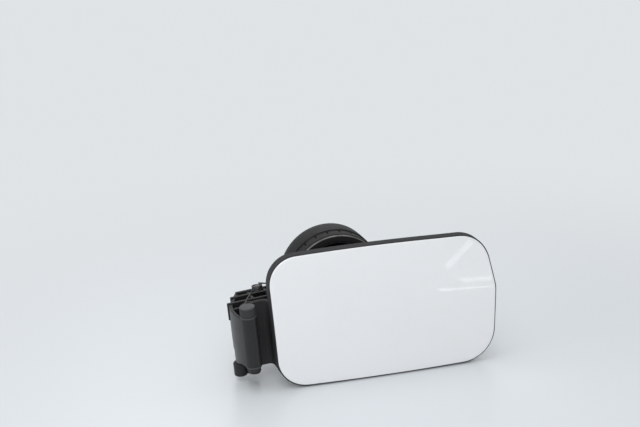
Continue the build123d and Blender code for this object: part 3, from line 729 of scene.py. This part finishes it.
# %% Skin with the pegs that are staked behind the frame
STAKE_PLACES = [(u * MM, w * MM) for u in (-55.25, 0.0, 55.25) for w in (-49.15, 49.15)]
STAKE_RADIUS = 2.0 * MM
STAKE_HEAD = 3.4 * MM
STAKE_SEAT = 4.5 * MM
STAKE_RISE = 1.4 * MM
STAKE_ROUND = 0.8 * MM

root = SKIN_WALL / 2
seat = STAKE_SEAT - root
head = STAKE_SEAT + STAKE_RISE - root
peg = softened([(0, 0), (STAKE_RADIUS, 0), (STAKE_RADIUS, seat), (STAKE_HEAD, seat),
                (STAKE_HEAD, head), (0, head)], STAKE_ROUND, 4)
skin = skin_shape()
for u, w in STAKE_PLACES:
    turned(skin, peg, looking_in(on_face(u, w, root)), 32)
flap_skin = stand_in("flap_skin", mesh_of("flap_skin", skin))

# %% [markdown]
# ## Mouldings with rounded edges
#
# The frame, the arm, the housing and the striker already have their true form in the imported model,
# but its edges are knife sharp. A copy of each solid is cleaned: its triangles are merged back
# into flat faces, and then every sharp outer edge is bevelled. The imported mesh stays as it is.

# %% Bevelled copies of the mouldings
EDGE_ROUND = {
    "flap_frame": 0.30 * MM,
    "hinge_arm": 0.50 * MM,
    "hinge_housing": 0.40 * MM,
    "latch_striker": 0.60 * MM,
}
SHARP = radians(35)
FLAT = radians(0.6)
MOULD_SMOOTH = 40
FLAT_WEIGHT = 90


def moulded(node, radius):
    """A copy of a node with its outer edges rounded."""
    shape = bmesh.new()
    shape.from_mesh(nodes[node].data)
    bmesh.ops.remove_doubles(shape, verts=shape.verts, dist=2 * WELD)
    bmesh.ops.dissolve_limit(shape, angle_limit=FLAT, verts=shape.verts, edges=shape.edges)
    sharp = [e for e in shape.edges if e.calc_face_angle_signed(0) > SHARP]
    bmesh.ops.bevel(shape, geom=sharp, offset=radius, offset_type="OFFSET", segments=2, profile=0.5,
                    affect="EDGES", clamp_overlap=False, miter_outer="ARC")
    bmesh.ops.remove_doubles(shape, verts=shape.verts, dist=WELD)
    piece = stand_in(node, mesh_of(node, shape), MOULD_SMOOTH)
    flatten = piece.modifiers.new("flat faces", "WEIGHTED_NORMAL")
    flatten.keep_sharp = True
    flatten.weight = FLAT_WEIGHT


for node, radius in EDGE_ROUND.items():
    moulded(node, radius)

# %% [markdown]
# ## Round stretches of the mouldings
#
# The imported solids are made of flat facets, and a satin plastic shows them on a barrel. Thin shells
# with many more facets are laid over the round stretches that face the viewer: the barrel and the
# bulged wall beside it, the upper ear, and the two lobes of the foot. Each stands a few hundredths
# of a millimetre proud and rides with its moulding.

# %% A shell over the barrel and the wall
PROUD = 0.04 * MM
SHELL = 0.25 * MM
BARREL = 7.0 * MM
BARREL_END = 22.75 * MM
BARREL_FROM = radians(390)
BARREL_STEP = radians(5)
BULGE = 70.0 * MM
BULGE_TURN = radians(17)
WALL_BACK = 34.6 * MM
WALL_SLOPE_START = 7.7 * MM
WALL_SLOPE_END = 35.0 * MM
WALL_LOW = 32.0 * MM
WALL_STEPS = 24
EDGE_MARGIN = 0.5 * MM


def overlay(name, node, shape):
    """A small extra piece that rides with a node and shares its finish, without hiding it."""
    dressed(name, node, mesh_of(name, shape), MOULD_SMOOTH)


def cover_path():
    """Points and outward directions in plan, round the barrel's front and along the bulged wall."""
    path = []
    turn = BARREL_FROM
    while turn > pi + BULGE_TURN:
        out = Vector((cos(turn), sin(turn)))
        path.append((out * BARREL, out))
        turn -= BARREL_STEP
    middle = Vector((cos(BULGE_TURN), sin(BULGE_TURN))) * (BULGE - BARREL)
    last = pi - atan2(WALL_BACK - middle.y, BULGE)
    for k in range(WALL_STEPS + 1):
        angle = pi + BULGE_TURN + (last - pi - BULGE_TURN) * k / WALL_STEPS
        out = Vector((cos(angle), sin(angle)))
        path.append((middle + out * BULGE, out))
    return path


def cover_shape():
    """A thin closed shell over the barrel and the wall, its lower edge falling to the back."""
    shape = bmesh.new()
    columns = []
    for point, out in cover_path():
        share = max(0, (point.y - WALL_SLOPE_START) / (WALL_SLOPE_END - WALL_SLOPE_START))
        low = EDGE_MARGIN - BARREL_END - share * (WALL_LOW - BARREL_END)
        high = BARREL_END - EDGE_MARGIN
        column = []
        for reach, z in ((PROUD, low), (PROUD, high), (PROUD - SHELL, high), (PROUD - SHELL, low)):
            flat = point + out * reach
            column.append(shape.verts.new(hinge @ Vector((flat.x, flat.y, z))))
        columns.append(column)
    for first, second in zip(columns, columns[1:]):
        for i in range(4):
            shape.faces.new((first[i - 1], first[i], second[i], second[i - 1]))
    shape.faces.new(columns[0])
    shape.faces.new(columns[-1])
    return shape


overlay("barrel_shell", "hinge_housing", cover_shape())

# %% Shells of the ear and the foot, and a ring moulded in the arm's throat
EAR = 6.9 * MM
EAR_START = 23.9 * MM
EAR_TOP = 31.1 * MM
LOBE = 6.0 * MM
LOBE_PLACES = [Vector((x, 29.6, -42.5)) * MM for x in (-5.5, 5.7)]
LOBE_HEIGHT = 12.5 * MM
LOBE_ROUND = 1.5 * MM
RING_PLACE = Vector((16.5, 17.95, -3.0)) * MM
RING_RADIUS = 4.6 * MM
RING_WIRE = 0.35 * MM
RING_SIDES = 12

ear_low = EAR_START + EDGE_MARGIN
ear = [(EAR - SHELL, ear_low), (EAR + PROUD, ear_low), (EAR + PROUD, EAR_TOP), (EAR - SHELL, EAR_TOP)]
overlay("ear_shell", "hinge_arm", turned(bmesh.new(), ear, hinge, 72))

lobe_side = LOBE + PROUD
lobe_top = LOBE_HEIGHT + PROUD
lobe = softened([(0, -PROUD), (lobe_side, -PROUD), (lobe_side, lobe_top), (0, lobe_top)], LOBE_ROUND, 6)
for number, spot in enumerate(LOBE_PLACES, 1):
    shape = turned(bmesh.new(), lobe, hinge @ Matrix.Translation(spot), 64)
    overlay(f"lobe_shell_{number}", "hinge_housing", shape)

turns = [2 * pi * k / RING_SIDES for k in range(RING_SIDES + 1)]
ring = [(RING_RADIUS + RING_WIRE * cos(a), RING_WIRE * sin(a)) for a in turns]
overlay("arm_ring", "hinge_arm", turned_ring(ring, hinge @ looking_in(RING_PLACE), 48))

# %% [markdown]
# ## The filler collar
#
# The collar is one rubber ring: a tail that snaps into the housing, a broad flange, a band with
# short notches, a thin lip in front, and a slanting lip inside that seals on the filler neck. It is
# spun like a turned part, but the band's radius steps in at each notch, so that the notches belong
# to the same skin.

# %% The collar's sizes
BORE = 34.5 * MM
TAIL = 40.6 * MM
NECK = 37.4 * MM
FLANGE = 44.0 * MM
BAND = 43.0 * MM
LIP = 42.4 * MM
SEAL = 26.0 * MM
TAIL_FRONT = -2.5 * MM
SEAT_FRONT = -5.1 * MM
FLANGE_FRONT = -19.1 * MM
BAND_FRONT = -29.7 * MM
LIP_FRONT = -31.9 * MM
LIP_CHAMFER = 2.2 * MM
SEAL_ROOT = -7.0 * MM
SEAL_TIP = -18.0 * MM
SEAL_WALL = 1.8 * MM
FLANGE_ROUND = 0.9 * MM
LIP_ROUND = 0.7 * MM
BORE_CHAMFER = 0.4 * MM
NOTCH_FLOOR = 41.6 * MM
NOTCH_LENGTH = 5.6 * MM
NOTCH_COUNT = 24
NOTCH_WIDTH = 1.6 * MM
NOTCH_DRAFT = 0.2 * MM
BAND_STEPS = 7


# %% Spin the collar
def collar_angles():
    """Angles round the collar, each with whether it lies in a notch."""
    mouth = NOTCH_WIDTH / 2 / BAND
    floor = mouth - NOTCH_DRAFT / BAND
    pitch = 2 * pi / NOTCH_COUNT
    gap = pitch - 2 * mouth
    angles = []
    for i in range(NOTCH_COUNT):
        middle = (i + 0.5) * pitch
        angles += [(middle - floor, True), (middle + floor, True)]
        angles += [(middle + mouth + gap * k / BAND_STEPS, False) for k in range(BAND_STEPS + 1)]
    return angles


def collar_shape():
    """The collar as one closed skin about the bore's axis."""
    outside = softened([(BORE, 0), (TAIL, 0), (TAIL, TAIL_FRONT), (NECK, TAIL_FRONT),
                        (NECK, SEAT_FRONT), (FLANGE, SEAT_FRONT), (FLANGE, FLANGE_FRONT),
                        (BAND, FLANGE_FRONT)], FLANGE_ROUND)
    notch_end = FLANGE_FRONT - NOTCH_LENGTH
    notched = [(BAND, FLANGE_FRONT - NOTCH_DRAFT), (BAND, notch_end)]
    front = softened([(BAND, notch_end - NOTCH_DRAFT), (BAND, BAND_FRONT), (LIP, BAND_FRONT),
                      (LIP, LIP_FRONT), (BORE + LIP_CHAMFER, LIP_FRONT), (BORE, BAND_FRONT),
                      (BORE, SEAL_ROOT - SEAL_WALL), (SEAL, SEAL_TIP), (SEAL, SEAL_TIP + SEAL_WALL),
                      (BORE, SEAL_ROOT), (BORE, 0)], LIP_ROUND)
    profile = outside[1:] + notched + front[:-1] + [(BORE + BORE_CHAMFER, 0)]
    on_band = range(len(outside) - 1, len(outside) - 1 + len(notched))
    shape = bmesh.new()
    rings = []
    for angle, in_notch in collar_angles():
        ring = []
        for i, (radius, y) in enumerate(profile):
            reach = NOTCH_FLOOR if in_notch and i in on_band else radius
            ring.append(shape.verts.new((reach * cos(angle), y, reach * sin(angle))))
        rings.append(ring)
    for k, ring in enumerate(rings):
        before = rings[k - 1]
        for i in range(len(profile)):
            shape.faces.new((before[i - 1], before[i], ring[i], ring[i - 1]))
    return shape


stand_in("neck_collar", mesh_of("neck_collar", collar_shape()), 50)

# %% [markdown]
# ## The pin, its cap and the bushes
#
# The pin has a flat round head on the upper ear and a push-on cap below. Two flanged bushes run on
# it in the ends of the housing's barrel. All four are turned about the hinge's own z axis, and
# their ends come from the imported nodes.

# %% Turn the hinge's round pieces
PIN_RADIUS = 2.5 * MM
PIN_HEAD = 1.6 * MM
PIN_ROUND = 0.45 * MM
CAP_WALL = 0.6 * MM
CAP_PLAY = 0.02 * MM
CAP_ROUND = 0.7 * MM
BUSH_BORE = 2.55 * MM
BUSH_RADIUS = 4.05 * MM
BUSH_FLANGE = 1.0 * MM
BUSH_ROUND = 0.25 * MM

low, high = local_box("hinge_pin", hinge)
under_head = high.z - PIN_HEAD
pin = softened([(0, low.z), (PIN_RADIUS, low.z), (PIN_RADIUS, under_head), (high.x, under_head),
                (high.x, high.z), (0, high.z)], PIN_ROUND)
stand_in("hinge_pin", mesh_of("hinge_pin", turned(bmesh.new(), pin, hinge, 72)))

low, high = local_box("pin_cap", hinge)
cap_bore = PIN_RADIUS + CAP_PLAY
cap_floor = low.z + CAP_WALL
cap = softened([(0, low.z), (high.x, low.z), (high.x, high.z), (cap_bore, high.z),
                (cap_bore, cap_floor), (0, cap_floor)], CAP_ROUND)
stand_in("pin_cap", mesh_of("pin_cap", turned(bmesh.new(), cap, hinge, 72)))

for node, side in (("upper_bush", 1), ("lower_bush", -1)):
    low, high = local_box(node, hinge)
    inner, outer = (low.z, high.z) if side > 0 else (high.z, low.z)
    middle = (inner + outer) / 2
    flange = outer - side * BUSH_FLANGE
    bush = softened([(BUSH_BORE, middle), (BUSH_BORE, inner), (BUSH_RADIUS, inner),
                     (BUSH_RADIUS, flange), (high.x, flange), (high.x, outer), (BUSH_BORE, outer),
                     (BUSH_BORE, middle)], BUSH_ROUND)
    stand_in(node, mesh_of(node, turned_ring(bush, hinge, 56)))

# %% [markdown]
# ## The over-centre spring
#
# A wire spring snaps the flap open or shut: a coil with two legs, one hooked on a peg of the arm
# and one on a peg of the housing. Its line is a coil with a straight tangent leg and an open loop
# at each end, and a round wire is swept along it. The arm's leg has to follow the flap, but the
# piece rides on neither body.

# %% The spring's line, about the pin
WIRE_RADIUS = 0.7 * MM
COIL_RADIUS = 4.2 * MM
COIL_PITCH = 1.7 * MM
COIL_TURNS = 2
COIL = Vector((20.5, 40.0)) * MM
ARM_PEG = Vector((4.6, 15.0)) * MM
HOUSING_PEG = Vector((40.6, 27.2)) * MM
LOOP_RADIUS = 2.55 * MM
LOOP_SWEEP = radians(230)
COIL_START = 29.2 * MM
LINE_STEP = radians(12)
LEG_STEPS = 12


def leg(peg, side):
    """A leg's points in plan, from the coil to the end of the loop round its peg."""
    along = (peg - COIL).normalized()
    across = Vector((-along.y, along.x)) * side
    share = (COIL_RADIUS - LOOP_RADIUS) / (peg - COIL).length
    touch = along * share + across * sqrt(1 - share ** 2)
    first = atan2(touch.y, touch.x)
    start = COIL + touch * COIL_RADIUS
    end = peg + touch * LOOP_RADIUS
    points = [start.lerp(end, k / LEG_STEPS) for k in range(LEG_STEPS)]
    steps = int(LOOP_SWEEP / LINE_STEP)
    for k in range(steps + 1):
        angle = first - side * LOOP_SWEEP * k / steps
        points.append(peg + Vector((cos(angle), sin(angle))) * LOOP_RADIUS)
    return points, first


def spring_line():
    """The whole wire in the model's frame, from the arm's loop to the housing's loop."""
    arm_leg, arm_angle = leg(ARM_PEG, -1)
    housing_leg, housing_angle = leg(HOUSING_PEG, 1)
    sweep = COIL_TURNS * 2 * pi + (housing_angle - arm_angle) % (2 * pi)
    rise = sweep / (2 * pi) * COIL_PITCH
    line = [Vector((p.x, p.y, COIL_START)) for p in reversed(arm_leg[1:])]
    steps = int(sweep / LINE_STEP)
    for k in range(steps + 1):
        angle = arm_angle + sweep * k / steps
        flat = COIL + Vector((cos(angle), sin(angle))) * COIL_RADIUS
        line.append(Vector((flat.x, flat.y, COIL_START + rise * k / steps)))
    line += [Vector((p.x, p.y, COIL_START + rise)) for p in housing_leg[1:]]
    return [hinge @ p for p in line]


# %% Sweep the wire
WIRE_SIDES = 10
WIRE_DOME = 0.6


def wire_shape(line, radius):
    """A round wire with domed ends along a line."""
    shape = bmesh.new()
    rings = []
    normal = pin_up
    angles = [2 * pi * k / WIRE_SIDES for k in range(WIRE_SIDES)]
    for i, point in enumerate(line):
        along = (line[min(i + 1, len(line) - 1)] - line[max(i - 1, 0)]).normalized()
        normal = (normal - along * normal.dot(along)).normalized()
        other = along.cross(normal)
        outward = [normal * cos(a) + other * sin(a) for a in angles]
        rings.append([shape.verts.new(point + out * radius) for out in outward])
    for first, second in zip(rings, rings[1:]):
        for k in range(WIRE_SIDES):
            shape.faces.new((first[k - 1], first[k], second[k], second[k - 1]))
    for ring, tip, neighbour in ((rings[0], line[0], line[1]), (rings[-1], line[-1], line[-2])):
        dome = shape.verts.new(tip + (tip - neighbour).normalized() * radius * WIRE_DOME)
        for k in range(WIRE_SIDES):
            shape.faces.new((ring[k - 1], ring[k], dome))
    return shape


spring_mesh = mesh_of("over_centre_spring", wire_shape(spring_line(), WIRE_RADIUS))
spring = stand_in("over_centre_spring", spring_mesh, 60, False)
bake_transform(spring)

# %% [markdown]
# ## Screws, sleeves and buffers
#
# Six pan-head screws hold the arm and the striker, two steel sleeves line the screw lugs, and two
# rubber buffers meet the car when the flap shuts. Each is turned on the lathe, at the place of its
# own node. The cross in a screw's head is cut with a boolean, as a punch would press it.


# %% Where a round node stands
def round_node(node):
    """The place of a round node that looks into the car, with its radius and its length."""
    low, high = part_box(node)
    middle = (low + high) / 2
    return looking_in(Vector((middle.x, low.y, middle.z))), (high.x - low.x) / 2, high.y - low.y


# %% Screws with a pressed cross
SCREW_RADIUS = 2.0 * MM
SCREW_TIP = 0.5
SCREW_HEAD_HEIGHT = 2.6 * MM
HEAD_SIDE = 0.45
HEAD_FLAT = 0.72
HEAD_ROUND = 0.9 * MM
THREAD_PITCH = 1.4 * MM
THREAD_DEPTH = 0.35 * MM
CROSS_REACH = 1.75 * MM
CROSS_WIDTH = 0.8 * MM
CROSS_DEPTH = 1.5 * MM
CROSS_POINT = 0.45
CROSS_THIN = 0.7


def cross_cutter(place):
    """The punch for a screw's cross: two tapered bars."""
    shape = bmesh.new()
    for turn in (0, pi / 2):
        turned_place = place @ Matrix.Rotation(turn, 4, "Z")
        made = bmesh.ops.create_cube(shape, size=1.0)
        for vert in made["verts"]:
            deep = vert.co.z < 0
            reach = CROSS_REACH * (CROSS_POINT if deep else 1.0)
            width = CROSS_WIDTH * (CROSS_THIN if deep else 1.0)
            height = -CROSS_DEPTH if deep else CROSS_DEPTH
            vert.co = turned_place @ Vector((2 * vert.co.x * reach, vert.co.y * width, height))
    return shape


def cut(piece_mesh, cutter_mesh, name):
    """One mesh with another taken out of it."""
    body = new_object(name + "_body", piece_mesh)
    tool = new_object(name + "_tool", cutter_mesh)
    boolean = body.modifiers.new("cut", "BOOLEAN")
    boolean.object = tool
    boolean.use_self = True
    bpy.context.view_layer.update()
    finished = body.evaluated_get(bpy.context.evaluated_depsgraph_get())
    made = bpy.data.meshes.new_from_object(finished)
    for thing in (body, tool):
        bpy.data.objects.remove(thing)
    return made


def screw_mesh(node):
    """A pan-head screw with rings of thread, at the place of its node."""
    place, radius, length = round_node(node)
    head = length - SCREW_HEAD_HEIGHT
    root = SCREW_RADIUS - THREAD_DEPTH
    profile = [(0, 0), (SCREW_RADIUS * SCREW_TIP, 0)]
    for k in range(int(head / THREAD_PITCH) - 1):
        z = (k + 0.5) * THREAD_PITCH
        profile += [(root, z), (SCREW_RADIUS, z + THREAD_PITCH / 2)]
    profile += [(root, head - THREAD_PITCH / 2), (SCREW_RADIUS, head)]
    side_top = head + SCREW_HEAD_HEIGHT * HEAD_SIDE
    dome = softened([(SCREW_RADIUS, head), (radius, head), (radius, side_top),
                     (radius * HEAD_FLAT, length), (0, length)], HEAD_ROUND, 5)
    solid = mesh_of(node, turned(bmesh.new(), profile + dome[1:], place, 40))
    cross = cross_cutter(place @ Matrix.Translation((0, 0, length)))
    return cut(solid, mesh_of(node + "_cross", cross), node)


for node in nodes:
    if "_screw_" in node:
        stand_in(node, screw_mesh(node))

# %% Sleeves and buffers
SLEEVE_BORE = 3.3 * MM
SLEEVE_ROUND = 0.35 * MM
BUFFER_STEM = 2.4 * MM
BUFFER_STEM_LENGTH = 4.0 * MM
BUFFER_TIP = 4.4 * MM
BUFFER_TIP_FLAT = 0.6
BUFFER_EDGE = 0.5 * MM
BUFFER_ROUND = 1.0 * MM
GROOVE_PLACE = 0.42
GROOVE_DEPTH = 0.5 * MM
GROOVE_HALF = 0.5 * MM

for node in ("mount_sleeve_1", "mount_sleeve_2"):
    place, wall, length = round_node(node)
    tube = softened([(SLEEVE_BORE, length / 2), (SLEEVE_BORE, 0), (wall, 0), (wall, length),
                     (SLEEVE_BORE, length), (SLEEVE_BORE, length / 2)], SLEEVE_ROUND)
    stand_in(node, mesh_of(node, turned_ring(tube, place, 48)))

for node in ("buffer_upper", "buffer_lower"):
    place, wall, length = round_node(node)
    waist = BUFFER_STEM_LENGTH + (length - BUFFER_STEM_LENGTH) * GROOVE_PLACE
    side = wall + (BUFFER_TIP - wall) * GROOVE_PLACE
    stem = [(0, 0), (BUFFER_STEM, 0), (BUFFER_STEM, BUFFER_STEM_LENGTH), (wall, BUFFER_STEM_LENGTH)]
    groove = [(side, waist - GROOVE_HALF), (side - GROOVE_DEPTH, waist), (side, waist + GROOVE_HALF)]
    tip = [(BUFFER_TIP, length - BUFFER_EDGE), (BUFFER_TIP * BUFFER_TIP_FLAT, length), (0, length)]
    shape = turned(bmesh.new(), softened(stem + groove + tip, BUFFER_ROUND, 4), place, 48)
    stand_in(node, mesh_of(node, shape), 50)

# %% [markdown]
# ## The floor
#
# A plain pale floor lies just under the lower edge of the flap's frame, and the housing's foot ends
# a few millimetres above it. When the flap swings open, its free corner dips, because the pin
# leans. A level floor would cut that corner, so the floor is level under the door and falls gently
# in front of it. Far from the door it fades into an even pale tone, which the world shows as well.

# %% Floor
FLOOR_FALL = 0.14
FLOOR_BEND = 22 * MM
FLOOR_STEPS = 16
FLOOR_REACH = 9.0
FLOOR_GAP = 0.3 * MM
FLOOR_FORWARD = 60 * MM
FLOOR_TONE = (0.655, 0.682, 0.702, 1)
FLOOR_GLOSS = {"Roughness": 0.34, "Specular IOR Level": 0.35}
FADE_START = 0.15
FADE_END = 0.75
PALE = (0.745, 0.770, 0.792, 1)

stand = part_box("flap_frame")[0]
floor_middle = Vector((FLAP_MIDDLE.x, FLAP_MIDDLE.y - FLOOR_FORWARD, stand.z - FLOOR_GAP))
floor_shape = bmesh.new()
rows = []
bends = [k * FLOOR_BEND / 2 for k in range(-FLOOR_STEPS, FLOOR_STEPS + 1)]
for y in [-FLOOR_REACH] + bends + [FLOOR_REACH]:
    fall = FLOOR_FALL * soft_ramp(-y, FLOOR_BEND)
    ends = [floor_middle + Vector((x, y, -fall)) for x in (-FLOOR_REACH, FLOOR_REACH)]
    rows.append([floor_shape.verts.new(end) for end in ends])
for near, far in zip(rows, rows[1:]):
    floor_shape.faces.new((near[0], near[1], far[1], far[0]))
floor_mesh = mesh_of("floor", floor_shape)
floor_mesh.shade_smooth()
floor = new_object("floor", floor_mesh)
floor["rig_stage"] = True


def pale_floor():
    """A pale floor that keeps the shadow near the door and is an even tone far from it."""
    material = bpy.data.materials.new("floor")
    material.use_nodes = True
    tree = material.node_tree
    wire = Wire(tree)
    shader = tree.nodes["Principled BSDF"]
    for name, value in {"Base Color": FLOOR_TONE, **FLOOR_GLOSS}.items():
        shader.inputs[name].default_value = value
    offset = vectors(wire, "DISTANCE", {0: place_of(wire), 1: floor_middle}, "Value")
    far = between(wire, offset, FADE_START, FADE_END)
    path = tree.nodes.new("ShaderNodeLightPath")
    seen = Wire(tree, path.outputs["Is Camera Ray"]) + Wire(tree, path.outputs["Is Glossy Ray"])
    glow = wire.node("ShaderNodeEmission", sockets={"Color": PALE, "Strength": 1.0})
    near_shader = Wire(tree, shader.outputs[0])
    mixed = wire.node("ShaderNodeMixShader", sockets={0: far * seen, 1: near_shader, 2: glow})
    tree.links.new(mixed.socket, tree.nodes["Material Output"].inputs["Surface"])
    return material


floor.data.materials.append(pale_floor())
print("floor at mm", round(floor_middle.z / MM, 1))

# %% World
WORLD_STRENGTH = 0.80

world = bpy.data.worlds.new("studio")
bpy.context.scene.world = world
world.use_nodes = True
air = Wire(world.node_tree)
glow = air.node("ShaderNodeBackground", sockets={"Color": PALE, "Strength": WORLD_STRENGTH})
backdrop = air.node("ShaderNodeBackground", sockets={"Color": PALE, "Strength": 1.0})
straight_ray = air.node("ShaderNodeLightPath", output="Is Camera Ray")
studio = air.node("ShaderNodeMixShader", sockets={0: straight_ray, 1: glow, 2: backdrop})
world.node_tree.links.new(studio.socket, world.node_tree.nodes["World Output"].inputs["Surface"])
print("world strength", WORLD_STRENGTH)

# %% [markdown]
# ## Soft light
#
# Two large lamps, above and in front, stand a little to the left and do most of the work. A weaker
# one behind keeps the back readable. Their size gives the shadow its soft edges. The long lamp on
# the left is what the hinge's side wall shows as a pale band.

# %% Soft lamps, each with power in watts, width, height over width, and place in metres
SOFT_LAMPS = {
    "upper_lamp": (8.0, 1.2, 1.0, (-0.50, -0.20, 1.3)),
    "left_lamp": (2.2, 0.6, 1.6, (-1.3, -0.35, 0.35)),
    "front_lamp": (8.7, 0.9, 1.0, (-0.45, -1.45, 1.0)),
    "back_lamp": (3.0, 0.9, 1.0, (0.4, 1.4, 0.9)),
}


def area_lamp(name, power, width, height):
    """A rectangular lamp at the origin."""
    light = bpy.data.lights.new(name, "AREA")
    light.shape = "RECTANGLE"
    light.energy = power
    light.size = width
    light.size_y = height
    return new_object(name, light)


for name, (power, width, stretch, spot) in SOFT_LAMPS.items():
    lamp = area_lamp(name, power, width, width * stretch)
    lamp.location = Vector(spot)
    lamp.rotation_mode = "QUATERNION"
    lamp.rotation_quaternion = (FLAP_MIDDLE - Vector(spot)).to_track_quat("-Z", "Y")
    print("lamp", name, power, "W")

# %% [markdown]
# ## Lines of light in the paint
#
# The paint shows a thin bright line along its crease, and a softer one where the facet above it
# ends. Those are two narrow lamps in front, near the floor, mirrored only where the face bends.
# Their places are worked out from the slope of the crown. Light linking lets them shine on the
# painted skin alone, and the camera doesn't see them.

# %% Narrow lamps
CREASE_LINE = (48 * MM, 98 * MM)
CREASE_STRIP = {"radiance": 2.9, "distance": 0.30, "width": 8 * MM}
FACET_LINE = (55 * MM, 82 * MM)
FACET_ABOVE = 3.5 * MM
FACET_STRIP = {"radiance": 2.8, "distance": 0.40, "width": 7 * MM}

painted = bpy.data.collections.new("painted")
painted.objects.link(flap_skin)


def mirrored(u, w, distance):
    """The spot, at a distance, that the paint at u across and w up mirrors to the camera."""
    point = on_face(u, w, 0)
    slope_u = (crown(u + MM, w) - crown(u - MM, w)) / (2 * MM)
    slope_w = (crown(u, w + MM) - crown(u, w - MM)) / (2 * MM)
    normal = Vector((slope_u, -1, slope_w)).normalized()
    view = (camera.matrix_world.translation - point).normalized()
    return point + (2 * view.dot(normal) * normal - view) * distance


def strip(name, first, second, radiance, distance, width):
    """A narrow lamp that the paint mirrors along the line between two points of the face."""
    start = mirrored(*first, distance)
    end = mirrored(*second, distance)
    length = (end - start).length
    lamp = area_lamp(name, radiance * pi * length * width, length, width)
    along = (end - start).normalized()
    back = ((start + end) / 2 - on_face(*first, 0).lerp(on_face(*second, 0), 0.5)).normalized()
    up = back.cross(along).normalized()
    turn = Matrix((along, up, along.cross(up))).transposed().to_4x4()
    lamp.matrix_world = Matrix.Translation((start + end) / 2) @ turn
    lamp.visible_camera = False
    lamp.visible_diffuse = False
    lamp.light_linking.receiver_collection = painted
    print("strip", name, "at mm", [round(c / MM) for c in lamp.location], "length", round(length / MM))


on_crease = [(u, crease_at(u)[1]) for u in CREASE_LINE]
over_facet = [(u, crease_at(u)[2] + FACET_ABOVE) for u in FACET_LINE]
strip("crease_strip", *on_crease, **CREASE_STRIP)
strip("facet_strip", *over_facet, **FACET_STRIP)

# %% [markdown]
# ## Picture and size
#
# The view transform is plain, so that a colour renders about as it is written. The box of the
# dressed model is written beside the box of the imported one, to see that no piece has grown.

# %% Finish
bpy.context.scene.view_settings.view_transform = "Standard"
new_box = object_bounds()
growth = zip(cad_box[1] - cad_box[0], new_box[1] - new_box[0])
print("grown by mm", [round((new - old) / MM, 2) for old, new in growth])
